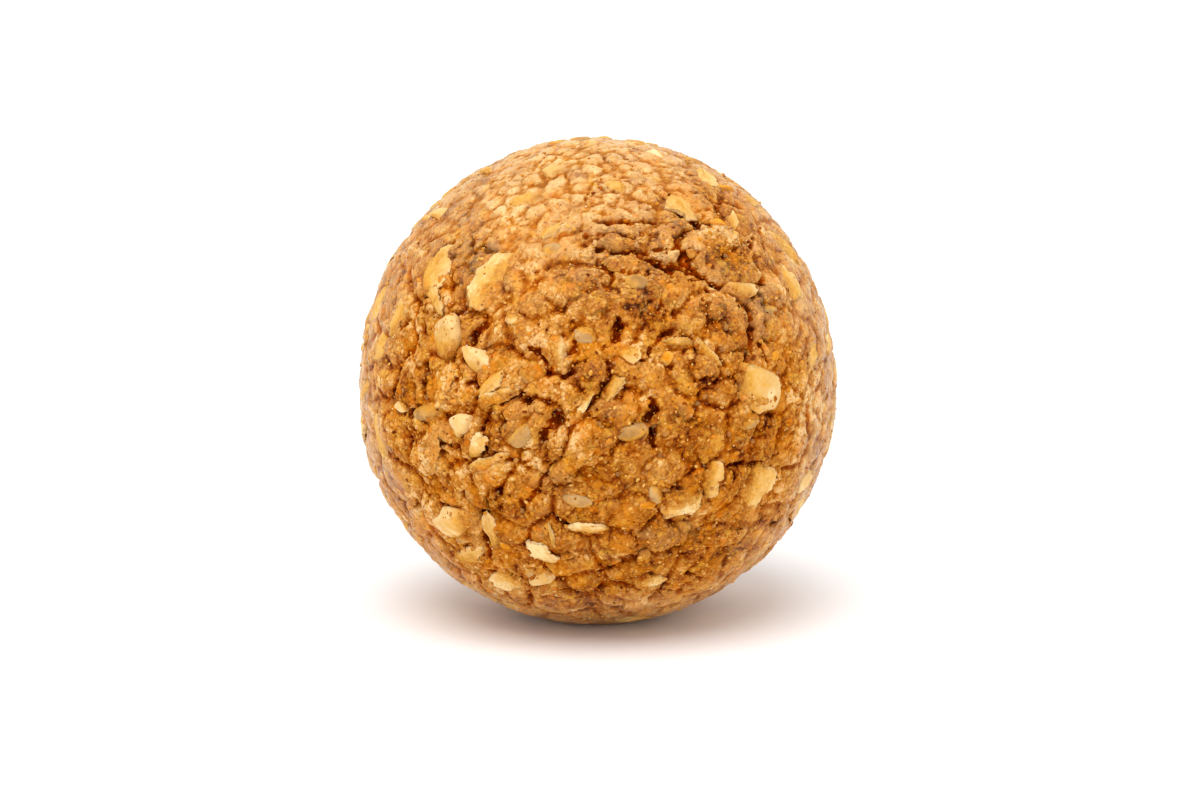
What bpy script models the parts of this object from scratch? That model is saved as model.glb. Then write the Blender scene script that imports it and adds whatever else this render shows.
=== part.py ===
"""An energy ball: a hand-rolled ball of nut dough with oat flakes, chopped nuts and crisp grains pressed into it.

It is one solid. The ball stands on the world origin, on the small flat that its own weight presses into it,
and +Z is up. The placed pieces and cracks are laid out as an eye sees them that stands in front of the ball,
on the -Y side, a little above it. The rest are strewn over the remaining skin by a seeded rule.
"""

import math
import random

import bmesh
import bpy
from mathutils import Matrix, Vector, geometry, noise

# Driving dimensions, in metres.
WIDTH = 0.040
CROWN = 0.0210
BELLY = 0.0199
REST_RADIUS = 0.0045
EYE_DISTANCE = 0.280
EYE_TILT = math.radians(10)
MM = 0.001

# The dough's relief: broad unevenness from the hands, and rolled-flat lumps with creases between them.
SWELL_SIZE = 0.0090
SWELL_HEIGHT = 0.00035
LUMP_SIZE = 0.0042
CREASE_DEPTH = 0.00075
CREASE_SPREAD = 0.55
ROUGH_PATCH = 0.0100
CLUMP_HEIGHT = 0.0009
CRACK_WIDTH = 0.0012
FINE_BAND = 0.0008
FINE_DEPTH = 0.0009

# How thick each kind is, and how far its middle stands over the dough, as a share of that thickness.
OAT_THICKNESS = 0.00070
OAT_PROUD = -0.05
NUT_THICKNESS = 0.85
NUT_PROUD = -0.17
GRAIN_THICKNESS = 0.80
GRAIN_PROUD = -0.15

# The strewn pieces, and how near the flat and each other they may lie.
STREWN_SEED = 21
STREWN_OATS = 26
STREWN_NUTS = 12
STREWN_GRAINS = 8
STREWN_CRACKS = 30
FLAT_MARGIN = 0.0050
ELBOW_ROOM = 0.60

RING_HEIGHT = BELLY * math.sqrt(1 - (2 * REST_RADIUS / WIDTH) ** 2)
HEART = Vector((0, 0, RING_HEIGHT))
EYE_BACK = Vector((0, -math.cos(EYE_TILT), math.sin(EYE_TILT)))
EYE_RIGHT = Vector((1, 0, 0))
EYE_UP = EYE_BACK.cross(EYE_RIGHT)

# Each placed piece: millimetres right of and above the ball's heart as the eye sees it, its length and width
# in millimetres, and the turn of its length from the horizontal in degrees.
OATS = [
    (-14.0, 9.1, 5.4, 2.0, 96),
    (-9.0, 8.8, 5.2, 1.3, 52),
    (-13.1, 0.1, 3.0, 1.8, 55),
    (-9.0, 0.3, 2.8, 1.1, 46),
    (-13.9, -5.4, 3.5, 1.3, 80),
    (-9.5, -6.5, 3.8, 1.1, 30),
    (-8.2, -0.9, 3.3, 0.9, 22),
    (13.8, 0.7, 4.4, 2.0, 130),
    (13.7, -8.5, 3.8, 1.7, 68),
    (9.8, -7.9, 2.7, 1.3, 70),
    (7.3, -9.5, 3.8, 2.0, 28),
    (-4.8, -14.0, 2.7, 1.3, -22),
    (-0.8, -12.0, 3.5, 1.0, -10),
    (-7.8, -16.6, 2.3, 1.3, -35),
    (-8.8, -12.6, 3.3, 0.9, 105),
    (7.9, 3.3, 4.5, 0.9, -30),
    (16.2, 8.7, 3.7, 1.1, 120),
    (6.8, 15.0, 2.7, 2.0, -60),
    (1.2, -0.2, 3.2, 1.0, 52),
    (-10.5, -14.5, 2.5, 1.7, 20),
]
NUTS = [
    (-3.5, 2.9, 2.8, 2.2, 75),
    (2.8, 2.6, 2.0, 1.7, 100),
    (-10.6, 2.1, 2.0, 1.7, 60),
    (-11.8, -3.6, 2.3, 1.7, 35),
    (12.2, 8.2, 2.1, 1.3, 20),
    (-12.6, -12.0, 3.7, 1.7, 4),
    (-13.1, 3.5, 3.7, 2.3, 52),
    (-2.3, -18.3, 2.8, 1.1, 0),
    (3.0, -18.3, 2.0, 1.3, 8),
    (-4.4, -16.2, 1.8, 1.3, 30),
]
GRAINS = [
    (-0.8, 4.5, 2.0, 1.7, 0),
    (3.1, 8.8, 2.1, 1.4, 0),
    (-5.6, 1.3, 2.3, 2.0, 20),
    (-6.9, -4.1, 2.5, 2.2, 40),
    (-14.5, -2.0, 2.8, 1.5, 20),
    (11.8, 4.1, 1.8, 1.3, 100),
    (3.0, -4.1, 2.8, 1.8, 10),
    (-1.6, -9.9, 2.5, 1.5, -10),
    (5.1, -9.1, 2.2, 1.3, -70),
    (12.7, -3.2, 2.2, 1.0, 8),
]
CLUMPS = [
    (10.5, 10.9, 7.0, 3.8, -22),
    (10.1, 5.6, 5.5, 4.7, 0),
    (2.6, 10.5, 4.2, 1.3, -12),
    (1.8, 12.0, 3.7, 0.9, -4),
    (8.4, 1.4, 4.2, 3.5, 20),
    (-1.1, 0.1, 4.7, 3.2, 45),
    (-5.9, -3.2, 4.0, 3.7, 0),
    (-0.4, -3.8, 8.0, 4.2, 35),
]

# Each crack: its depth in millimetres, then its points as the eye sees them.
CRACKS = [
    (1.5, [(4.3, 10.7), (5.3, 10.5), (6.3, 10.0), (7.8, 11.0)]),
    (0.9, [(0.3, 10.5), (1.2, 9.5), (0.9, 8.5)]),
    (1.0, [(-9.6, 5.4), (-10.1, 4.8), (-10.5, 3.9)]),
    (1.0, [(-5.8, 3.4), (-4.7, 2.8), (-4.3, 1.8), (-4.1, 0.8)]),
    (0.9, [(-1.8, 3.8), (-2.6, 2.8), (-3.4, 2.0), (-4.3, 0.8)]),
    (1.2, [(1.8, 5.4), (1.7, 4.1)]),
    (0.9, [(1.6, 1.3), (0.7, 0.0), (-0.2, -1.3)]),
    (1.1, [(-3.1, -2.3), (-3.9, -3.2), (-4.7, -4.4)]),
    (0.6, [(-6.4, -0.3), (-4.8, -1.0), (-3.1, -1.8)]),
    (1.0, [(-4.3, -7.3), (-4.9, -8.1), (-5.6, -9.2), (-6.4, -10.1)]),
    (0.8, [(-13.3, -4.8), (-11.6, -5.2)]),
    (0.9, [(-11.4, -9.2), (-9.7, -9.9), (-9.6, -11.5), (-9.4, -13.5), (-9.2, -14.6)]),
    (1.2, [(4.7, -1.1), (4.9, -2.1), (4.9, -3.4), (4.5, -4.5)]),
    (0.7, [(6.8, 4.9), (5.4, 4.3), (4.6, 3.4), (4.1, 2.3)]),
    (1.0, [(13.1, 6.6), (13.4, 5.2), (13.1, 3.9)]),
    (0.9, [(8.0, 13.8), (8.4, 13.2), (9.2, 13.2)]),
    (0.8, [(7.9, 9.1), (9.6, 8.9), (11.6, 8.5)]),
    (0.8, [(14.1, -6.4), (11.6, -6.7), (11.5, -7.8)]),
    (0.8, [(0.3, 11.3), (3.6, 11.3)]),
    (0.7, [(-1.1, 12.9), (3.8, 12.6)]),
    (0.8, [(-4.4, -17.7), (-3.4, -17.7)]),
    (0.8, [(17.5, 5.2), (17.5, 3.5)]),
]


def clear_scene():
    for item in list(bpy.data.objects):
        bpy.data.objects.remove(item)


def finish_of(name, colour, roughness):
    """A plain matte food finish."""
    material = bpy.data.materials.new(name)
    material.use_nodes = True
    shader = material.node_tree.nodes["Principled BSDF"]
    shader.inputs["Base Color"].default_value = (*colour, 1.0)
    shader.inputs["Roughness"].default_value = roughness
    shader.inputs["Metallic"].default_value = 0.0
    return material


def seen(across, above):
    """The direction from the heart to the skin where the eye sees it this many millimetres right and above."""
    eye = EYE_BACK * EYE_DISTANCE
    aim = EYE_RIGHT * across * MM + EYE_UP * above * MM
    sight = (aim - eye).normalized()
    radius = WIDTH / 2
    along = eye.dot(sight)
    depth = along * along - eye.length_squared + radius * radius
    # A place on the very rim is taken at the rim.
    return (eye + sight * (-along - math.sqrt(max(depth, 0.0)))).normalized()


def egg_radius(direction):
    """The plain ball: as wide all round, and a little taller above its widest ring than below it."""
    tall = CROWN if direction.z > 0 else BELLY
    flat_part = (direction.x**2 + direction.y**2) / (WIDTH / 2) ** 2
    return 1 / math.sqrt(flat_part + direction.z**2 / tall**2)


def strewn_directions(count, draw):
    """Directions spread evenly over the ball, each nudged a little, and none over the flat."""
    golden = math.pi * (3 - math.sqrt(5))
    lowest = -math.cos(math.asin((REST_RADIUS + FLAT_MARGIN) / (WIDTH / 2)))
    found = []
    for k in range(count):
        height = 1 - (k + 0.5) * (1 - lowest) / count
        turn = k * golden + draw.uniform(-0.3, 0.3)
        ring = math.sqrt(1 - height * height)
        found.append(Vector((ring * math.cos(turn), ring * math.sin(turn), height)))
    return found


def crack_lines():
    """Every crack as (depth, points on a ball of the nominal radius). The strewn ones keep off the eye's side."""
    radius = WIDTH / 2
    lines = [(depth * MM, [seen(*p) * radius for p in points]) for depth, points in CRACKS]
    draw = random.Random(STREWN_SEED + 1)
    for direction in strewn_directions(STREWN_CRACKS * 2, draw):
        heading = direction.orthogonal().normalized()
        heading.rotate(Matrix.Rotation(draw.uniform(0, math.tau), 3, direction))
        depth = draw.uniform(0.6, 1.1) * MM
        place = direction.copy()
        points = [place * radius]
        for _ in range(draw.randint(1, 3)):
            heading.rotate(Matrix.Rotation(draw.uniform(-0.6, 0.6), 3, place))
            place = (place + heading * draw.uniform(0.045, 0.085)).normalized()
            points.append(place * radius)
        if direction.dot(EYE_BACK) < 0.12:
            lines.append((depth, points))
    return lines


def crack_distances(place, lines):
    """Each crack's depth with its distance from a place on the nominal ball."""
    for depth, points in lines:
        for start, end in zip(points, points[1:]):
            share = geometry.intersect_point_line(place, start, end)[1]
            foot = start.lerp(end, min(max(share, 0.0), 1.0))
            yield depth, (place - foot).length


def crack_depth(place, lines):
    """How deep the cracks cut at a place on the nominal ball."""
    cuts = [d * (1 - (gap / CRACK_WIDTH) ** 2) for d, gap in crack_distances(place, lines) if gap < CRACK_WIDTH]
    return max(cuts, default=0.0)


def clump_frames():
    """Each clump of dough as (its middle on the nominal ball, its long side, its other side)."""
    frames = []
    for across, above, length, width, turn in CLUMPS:
        direction = seen(across, above)
        normal, long_side, true_length, true_width = lie(
            direction, math.radians(turn), length * MM, width * MM
        )
        side = normal.cross(long_side)
        frames.append((direction * (WIDTH / 2), long_side / (true_length / 2), side / (true_width / 2)))
    return frames


def clump_rise(place, frames):
    """How high the clumps stand at a place on the nominal ball: full in their middle, steep at their edge."""
    rise = 0.0
    for middle, long_side, side in frames:
        offset = place - middle
        spread = offset.dot(long_side) ** 2 + offset.dot(side) ** 2
        if spread < 1 and place.dot(middle) > 0:
            rise = max(rise, CLUMP_HEIGHT * math.sqrt(1 - spread))
    return rise


def relief(direction):
    """How far the dough stands over the plain ball, before its clumps and cracks."""
    place = direction * (WIDTH / 2)
    swell = noise.noise(place / SWELL_SIZE) * SWELL_HEIGHT
    near, second = noise.voronoi(place / LUMP_SIZE)[0][:2]
    crease = max(1 - (second - near) / CREASE_SPREAD, 0.0) ** 2
    patch = min(max(0.75 + noise.noise(place / ROUGH_PATCH), 0.0), 1.0)
    # The weight of the ball smooths the dough round the flat.
    off_flat = (math.hypot(place.x, place.y) - REST_RADIUS) / FLAT_MARGIN if place.z < 0 else 1.0
    return (swell - CREASE_DEPTH * crease * patch) * min(max(off_flat, 0.0), 1.0)


def skin(direction):
    """The point of the dough's skin in a direction from the heart, before its clumps and cracks."""
    return HEART + direction * (egg_radius(direction) + relief(direction))


def dough_ball(lines, material):
    """The ball of dough with its lumps and cracks, cut flat where it rests."""
    shell = bmesh.new()
    bmesh.ops.create_icosphere(shell, subdivisions=5, radius=WIDTH / 2)
    deep = [line for line in lines if line[0] >= FINE_DEPTH]
    close = [v for v in shell.verts if min(crack_distances(v.co, deep), key=lambda pair: pair[1])[1] < FINE_BAND]
    edges = {e for v in close for e in v.link_edges}
    bmesh.ops.subdivide_edges(shell, edges=list(edges), cuts=1, use_grid_fill=True)
    bmesh.ops.triangulate(shell, faces=shell.faces[:])
    frames = clump_frames()
    for vertex in shell.verts:
        direction = vertex.co.normalized()
        place = direction * (WIDTH / 2)
        rise = clump_rise(place, frames) - crack_depth(place, lines)
        vertex.co = skin(direction) + direction * rise
    bmesh.ops.bisect_plane(
        shell,
        geom=shell.verts[:] + shell.edges[:] + shell.faces[:],
        plane_co=(0, 0, 0),
        plane_no=(0, 0, -1),
        clear_outer=True,
    )
    rim = [e for e in shell.edges if e.is_boundary]
    bmesh.ops.contextual_create(shell, geom=rim)
    bmesh.ops.recalc_face_normals(shell, faces=shell.faces[:])
    mesh = bpy.data.meshes.new("energy_ball")
    shell.to_mesh(mesh)
    shell.free()
    mesh.materials.append(material)
    ball = bpy.data.objects.new("energy_ball", mesh)
    return ball


def lie(direction, turn, length, width):
    """The frame of a piece laid on the skin, with its true length and width where the eye sees them short."""
    normal = direction.normalized()
    facing = max(normal.dot(EYE_BACK), 0.35)
    seen_length = EYE_RIGHT * math.cos(turn) + EYE_UP * math.sin(turn)
    long_side = seen_length - EYE_BACK * (seen_length.dot(normal) / facing)
    long_side -= normal * long_side.dot(normal)
    stretch = min(long_side.length, 1.8)
    side = normal.cross(long_side).normalized()
    seen_side = math.sqrt(max(1 - side.dot(EYE_BACK) ** 2, 0.3))
    return normal, long_side.normalized(), length * stretch, width / seen_side


def piece(name, blank, direction, axes, size, proud, unevenness, draw, material):
    """One pressed-in piece: a blank made uneven, scaled to size and laid on the skin."""
    normal, long_side = axes
    side = normal.cross(long_side)
    middle = skin(direction) + normal * proud
    turn = Matrix((long_side, side, normal)).transposed()
    shift = Vector([draw.uniform(0, 100) for _ in range(3)])
    for vertex in blank.verts:
        local = vertex.co + noise.noise_vector(vertex.co + shift) * unevenness
        vertex.co = middle + turn @ Vector([c * s / 2 for c, s in zip(local, size)])
    mesh = bpy.data.meshes.new(name)
    blank.to_mesh(mesh)
    blank.free()
    mesh.materials.append(material)
    return bpy.data.objects.new(name, mesh)


def disc_blank():
    """A flake before it is laid: a thin disc, narrower on top."""
    blank = bmesh.new()
    bmesh.ops.create_cone(
        blank, cap_ends=True, cap_tris=False, segments=9, radius1=1.0, radius2=0.82, depth=2.0
    )
    return blank


def round_blank(subdivisions):
    """A nut or a grain before it is laid."""
    blank = bmesh.new()
    bmesh.ops.create_icosphere(blank, subdivisions=subdivisions, radius=1.0)
    return blank


def make_kind(kind, direction, axes, length, width, draw, materials):
    """A piece of a kind, as an object to be fused on."""
    if kind == "oat":
        size = (length, width, OAT_THICKNESS)
        proud = OAT_PROUD * OAT_THICKNESS
        blank, unevenness = disc_blank(), 0.35
    elif kind == "nut":
        size = (length, width, NUT_THICKNESS * width)
        proud = NUT_PROUD * width
        blank, unevenness = round_blank(1), 0.40
    else:
        size = (length, width, GRAIN_THICKNESS * width)
        proud = GRAIN_PROUD * width
        blank, unevenness = round_blank(2), 0.15
    return piece(kind, blank, direction, axes, size, proud, unevenness, draw, materials[kind])


def placed_pieces(draw, materials):
    """The pieces that the eye sees, where it sees them."""
    made, taken = [], []
    for kind, rows in (("oat", OATS), ("nut", NUTS), ("grain", GRAINS)):
        for across, above, length, width, turn in rows:
            direction = seen(across, above)
            normal, long_side, true_length, true_width = lie(
                direction, math.radians(turn), length * MM, width * MM
            )
            axes = (normal, long_side)
            made.append(make_kind(kind, direction, axes, true_length, true_width, draw, materials))
            taken.append((direction, max(true_length, true_width)))
    return made, taken


def strewn_pieces(taken, draw, materials):
    """The pieces of the remaining skin, in the same mix, clear of the placed ones and of each other."""
    ranges = {
        "oat": (0.0026, 0.0048, 0.42),
        "nut": (0.0017, 0.0032, 0.76),
        "grain": (0.0018, 0.0026, 0.80),
    }
    kinds = ["oat"] * STREWN_OATS + ["nut"] * STREWN_NUTS + ["grain"] * STREWN_GRAINS
    draw.shuffle(kinds)
    spots = strewn_directions(len(kinds) * 2, draw)
    draw.shuffle(spots)
    made = []
    for kind in kinds:
        low, high, share = ranges[kind]
        length = draw.uniform(low, high)
        turn = draw.uniform(0, math.tau)
        clear = [
            k
            for k, spot in enumerate(spots)
            if all((spot - d).length * WIDTH / 2 > ELBOW_ROOM * (length + s) for d, s in taken)
        ]
        if not clear:
            continue
        direction = spots.pop(clear[0])
        long_side = direction.orthogonal().normalized()
        long_side.rotate(Matrix.Rotation(turn, 3, direction))
        axes = (direction, long_side)
        width = length * share * draw.uniform(0.85, 1.15)
        made.append(make_kind(kind, direction, axes, length, width, draw, materials))
        taken.append((direction, length))
    return made


def fuse(ball, pieces):
    """Joins the pieces to the ball with one union and removes them."""
    group = bpy.data.collections.new("pressed_in")
    bpy.context.scene.collection.children.link(group)
    for item in pieces:
        group.objects.link(item)
    join = ball.modifiers.new("press in", "BOOLEAN")
    join.operation = "UNION"
    join.operand_type = "COLLECTION"
    join.collection = group
    join.solver = "EXACT"
    join.material_mode = "TRANSFER"
    bpy.context.view_layer.update()
    graph = bpy.context.evaluated_depsgraph_get()
    mesh = bpy.data.meshes.new_from_object(ball.evaluated_get(graph))
    ball.modifiers.clear()
    ball.data = mesh
    for item in pieces:
        bpy.data.objects.remove(item)
    bpy.data.collections.remove(group)


def drop_scraps(ball):
    """Keeps the ball's one outer skin and drops sealed hollows and loose scraps that the union may leave."""
    whole = bmesh.new()
    whole.from_mesh(ball.data)
    left = set(whole.verts)
    shells = []
    while left:
        front = [left.pop()]
        shell = set(front)
        while front:
            for edge in front.pop().link_edges:
                for vertex in edge.verts:
                    if vertex in left:
                        left.discard(vertex)
                        shell.add(vertex)
                        front.append(vertex)
        shells.append(shell)
    largest = max(shells, key=len)
    scraps = [v for shell in shells if shell is not largest for v in shell]
    bmesh.ops.delete(whole, geom=scraps, context="VERTS")
    whole.to_mesh(ball.data)
    whole.free()


def main():
    clear_scene()
    collection = bpy.data.collections.new("energy_ball")
    bpy.context.scene.collection.children.link(collection)
    materials = {
        "dough": finish_of("nut_dough", (0.55, 0.26, 0.07), 0.62),
        "oat": finish_of("oat_flake", (0.82, 0.60, 0.31), 0.60),
        "nut": finish_of("chopped_nut", (0.80, 0.55, 0.27), 0.50),
        "grain": finish_of("crisp_grain", (0.58, 0.38, 0.20), 0.42),
    }
    draw = random.Random(STREWN_SEED)
    noise.seed_set(STREWN_SEED)
    lines = crack_lines()
    ball = dough_ball(lines, materials["dough"])
    collection.objects.link(ball)
    pieces, taken = placed_pieces(draw, materials)
    pieces += strewn_pieces(taken, draw, materials)
    fuse(ball, pieces)
    drop_scraps(ball)
    ball.data.shade_smooth()
    ball.data.set_sharp_from_angle(angle=math.radians(35))


main()
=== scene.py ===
"""Dresses the energy ball: nut dough with its lumps, creases and crumbs, the flakes, nuts and grains in it.

The pieces that the camera sees are laid out one by one, in millimetres right of and above the ball's heart as
the camera sees them. The rest of the skin gets the same mix by seeded rules.
"""

import math

import bpy
import numpy as np
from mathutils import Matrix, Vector, noise


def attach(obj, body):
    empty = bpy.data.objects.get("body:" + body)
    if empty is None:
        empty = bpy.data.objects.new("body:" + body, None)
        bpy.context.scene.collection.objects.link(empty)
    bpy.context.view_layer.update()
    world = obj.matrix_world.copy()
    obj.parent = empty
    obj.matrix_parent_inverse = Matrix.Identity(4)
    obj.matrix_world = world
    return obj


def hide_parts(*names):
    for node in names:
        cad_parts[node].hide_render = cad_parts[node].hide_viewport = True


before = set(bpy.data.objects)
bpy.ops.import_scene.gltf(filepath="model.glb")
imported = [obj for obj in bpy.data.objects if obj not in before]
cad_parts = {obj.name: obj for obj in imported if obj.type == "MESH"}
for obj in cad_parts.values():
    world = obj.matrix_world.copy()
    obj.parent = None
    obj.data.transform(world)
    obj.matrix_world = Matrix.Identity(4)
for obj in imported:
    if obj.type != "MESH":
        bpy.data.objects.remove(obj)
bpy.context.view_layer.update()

MM = 0.001
SEED = 20

# The ball's form, in metres, the same as the solid's.
WIDTH = 0.040
RADIUS = WIDTH / 2
CROWN = 0.0210
BELLY = 0.0199
REST_RADIUS = 0.0045
RING_HEIGHT = BELLY * math.sqrt(1 - (2 * REST_RADIUS / WIDTH) ** 2)
FLAT_MARGIN = 0.0050
SWELL_SIZE = 0.0090
SWELL_HEIGHT = 0.00035
LUMP_SIZE = 0.0042
CREASE_DEPTH = 0.00055
CREASE_SPREAD = 0.40
ROUGH_PATCH = 0.0100
CLUMP_HEIGHT = 0.0006
CLUMP_MOAT = 0.0003

# How far cracks and the rims of clumps stray from a clean line, in metres.
CRACK_STRAY = 0.00042
CLUMP_STRAY = 0.0006
CLUMP_FINE_STRAY = 0.0003

# The palms: how far to either side of their ring they pressed, and how far across it wanders. The ring runs
# round the outline the camera sees, and the finish paints rim light on it.
PALM_REACH = 0.48
PALM_RING = 0.07
PALM_SWAY = 0.20

# A wrinkle's length and width, in metres.
WRINKLE_LENGTH = 0.0042
WRINKLE_WIDTH = 0.00105

# Where the camera stands: in front of the ball, on the -Y side, a little above it.
EYE_DISTANCE = 0.280
EYE_TILT = math.radians(10)
EYE_BACK = np.array((0, -math.cos(EYE_TILT), math.sin(EYE_TILT)))
EYE_RIGHT = np.array((1.0, 0, 0))
EYE_UP = np.cross(EYE_BACK, EYE_RIGHT)
HEART = np.array((0, 0, RING_HEIGHT))
LENS = 100
AIM_RIGHT = 0.00025
AIM_DOWN = 0.00109

# The tent's even light, and the softer sun over it: its strength, its spread in degrees, and where it stands.
TENT_STRENGTH = 0.90
KEY_STRENGTH = 1.95
KEY_SPREAD = 45
KEY_FROM = (-0.15, -0.66, 1.33)

# The dough's skin: squares along each side of its blank, and how much closer they lie in front.
SKIN_SIDE = 128
SKIN_PULL = 0.28

# Oat flakes: across, above, length and width in millimetres, turn in degrees, and how bare of dough they are.
# Some also say which way their bare side faces on the picture, in degrees, and which of a flake's shapes they
# have. A piece that is over 1 bare is paler still.
OATS = [
    (-13.7, 9.8, 3.9, 2.6, 80, 0.6, 0, 7),
    (-13.5, 7.4, 2.6, 1.2, 118, 0.95, 20, 6),
    (-9.1, 8.7, 5.4, 2.0, 54, 0.56, 150, 21),
    (-16.7, 5.8, 3.2, 0.9, 62, 0.75, 150, 10),
    (-13.1, 0.1, 3.0, 1.8, 55, 0.06, 20),
    (-9.0, 0.3, 2.8, 1.2, 46, 0.95, -60, 35),
    (-13.9, -5.4, 3.5, 1.3, 80, 0.03, 10),
    (-10.2, -5.0, 2.8, 1.3, 48, 1.0, 60, 20),
    (-9.5, -6.5, 3.8, 1.1, 30, 0.18),
    (-8.4, -0.8, 3.5, 1.0, 22, 0.18),
    (-18.4, -4.2, 3.8, 0.8, 100, 1.6, 0),
    (13.7, -8.5, 3.8, 1.9, 68, 0.56, -30, 33),
    (9.8, -7.9, 2.7, 1.4, 70, 0.54, -10, 22),
    (7.3, -9.5, 3.8, 2.1, 28, 0.18, -70, 24),
    (-4.8, -14.0, 2.9, 1.3, -34, 1.5, 56, 36),
    (-0.8, -12.0, 3.5, 1.1, -10, 0.78, 110),
    (4.6, -16.2, 2.3, 0.9, -6, 0.58),
    (-7.6, -16.5, 2.3, 1.2, -35, 0.84),
    (-8.8, -12.6, 3.3, 0.9, 105, 0.6),
    (6.8, 3.8, 2.4, 0.8, -2, 0.7, 90),
    (9.2, 2.8, 2.8, 0.8, -48, 0.18, 45),
    (16.2, 8.7, 3.7, 1.1, 120, 0.82, 20),
    (18.2, 2.8, 2.2, 0.7, 80, 1.25),
    (6.8, 15.0, 2.7, 2.0, -60, 1.5),
    (8.9, 17.0, 2.3, 1.0, -50, 2.2),
    (-3.8, 13.0, 2.0, 0.8, 28, 0.9),
    (1.2, -0.2, 3.2, 1.0, 52, 0.32),
    (-0.8, -0.9, 2.7, 0.6, 62, 0.28),
    (-10.9, -14.4, 2.4, 1.6, 20, 0.5),
    (-18.3, 3.5, 2.5, 1.0, 70, 1.1),
    (-3.8, -12.7, 2.5, 0.5, 97, 0.8),
    (-6.0, 15.5, 2.6, 1.1, 15, 0.7),
    (1.5, 16.5, 2.2, 0.9, -15, 0.75),
    (4.5, 0.9, 2.6, 1.3, 120, 0.0),
    (-2.2, -6.3, 3.6, 1.4, 40, 0.02),
]

# Chopped nuts, the same.
NUTS = [
    (13.6, 0.7, 4.6, 3.2, -50, 1.0, 0, 1),
    (-16.5, -1.6, 1.0, 0.8, 0, 0.72),
    (-3.5, 2.9, 2.8, 2.2, 75, 0.2, 0, 12),
    (2.8, 2.6, 2.0, 1.7, 100, 0.76, -60, 13),
    (-10.4, 2.1, 2.4, 2.2, 60, 1.0, 60, 13),
    (-11.8, -3.6, 2.3, 1.8, 35, 1.0, 60, 12),
    (12.2, 8.2, 2.1, 1.7, 20, 0.66, 60, 18),
    (-12.8, -11.8, 4.0, 2.4, 188, 1.0, 165, 0),
    (-13.1, 3.5, 3.7, 2.3, 52, 0.24, 80, 15),
    (-2.3, -18.3, 2.8, 1.1, 0, 0.0),
    (3.0, -18.3, 2.0, 1.3, 8, 0.0),
    (-4.4, -16.1, 1.8, 1.3, 30, 0.84),
    (11.2, 13.5, 1.3, 1.0, 80, 0.8),
    (-7.1, 5.8, 1.5, 1.0, 0, 0.48),
    (-13.1, 14.5, 1.5, 1.3, 0, 1.2),
    (-3.8, 17.9, 1.7, 1.0, 0, 1.6),
]

# Crisp grains, the same.
GRAINS = [
    (-0.8, 4.5, 2.0, 1.7, 0, 0.3),
    (3.1, 8.8, 2.1, 1.4, 0, 1.0),
    (-5.6, 1.3, 2.3, 2.0, 20, 0.14),
    (-6.7, -4.1, 2.5, 2.2, 40, 0.72),
    (-14.5, -2.0, 2.8, 1.5, 20, 0.52),
    (11.8, 4.1, 1.8, 1.3, 100, 0.06),
    (14.6, 6.6, 1.2, 1.0, 0, 0.55),
    (3.0, -4.1, 2.8, 1.8, 10, 0.65),
    (-1.6, -9.9, 2.5, 1.5, -10, 0.5),
    (0.1, -8.5, 1.1, 0.9, 0, 0.02),
    (5.1, -9.1, 2.2, 1.3, -70, 0.5),
    (10.5, -8.8, 1.2, 1.2, 0, 0.02),
    (9.0, -10.5, 1.8, 1.3, 10, 0.02),
    (12.7, -3.2, 2.2, 1.0, 8, 0.48),
    (-5.8, -15.6, 0.9, 0.8, 0, 0.7),
    (1.2, 2.9, 1.3, 0.9, 0, 0.0),
    (-11.1, -12.9, 2.0, 0.8, 8, 0.3),
    (-3.8, 11.5, 1.7, 1.3, 0, 0.8),
]

# Amber bits of zest, the same.
BITS = [
    (10.0, 13.6, 1.2, 1.1, 0, 0.9),
    (12.1, 13.0, 1.3, 1.2, -30, 0.0),
    (15.0, 2.5, 1.1, 0.7, 70, 1.0),
    (4.5, -10.1, 1.3, 0.9, 0, 1.35),
    (5.7, 2.5, 1.2, 1.0, 40, 0.8),
    (10.5, 16.5, 2.0, 0.7, -18, 0.6),
    (-7.9, -13.6, 1.1, 0.9, 0, 1.2),
    (2.4, -6.6, 0.6, 0.4, 10, 0.0),
    (16.9, -2.2, 0.7, 0.5, 70, 0.0),
]

# The kinds of pressed-in pieces, and the rows that place them.
PLACED = {"oat": OATS, "nut": NUTS, "grain": GRAINS, "bit": BITS}

# Strewn over the rest: how many of each kind, their least and greatest length, and their width as a share of
# their length.
STREWN = {
    "oat": (130, 0.0018, 0.0046, 0.48),
    "nut": (70, 0.0012, 0.0030, 0.72),
    "grain": (90, 0.0010, 0.0025, 0.78),
    "bit": (30, 0.0006, 0.0016, 0.70),
}

# From one numbered shape of a piece to the next: how far its two chances step on.
SHAPE_STEPS = (0.7549, 0.5698)

# In front, the share of the strewn pieces that stay, and how bare they are beside those behind.
FRONT_SHARE = 0.40
FRONT_BARE = 0.10
BACK_BARE = 0.9

# Each kind's sizes for its tree, in metres but for shares of a piece's width: Fullness and Sink.
PIECE_SIZES = {
    "oat": {
        "Half thickness": 0.00017,
        "Cup": 0.0006,
        "Wave": 0.0008,
        "Line height": 0.00009,
        "Tip": 0.00018,
        "Sink": 0.10,
        "Droop": 0.00030,
        "Rolled level": 0.00024,
    },
    "nut": {"Fullness": 0.95, "Tip": 0.00014, "Sink": 0.30, "Droop": 0.00010, "Rolled level": 0.00042},
    "grain": {"Fullness": 0.85, "Tip": 0.00008, "Sink": 0.45, "Droop": 0.00006, "Rolled level": 0.00036},
    "bit": {"Fullness": 0.95, "Tip": 0.00006, "Sink": 0.40, "Droop": 0.00006, "Rolled level": 0.00034},
}

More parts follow.
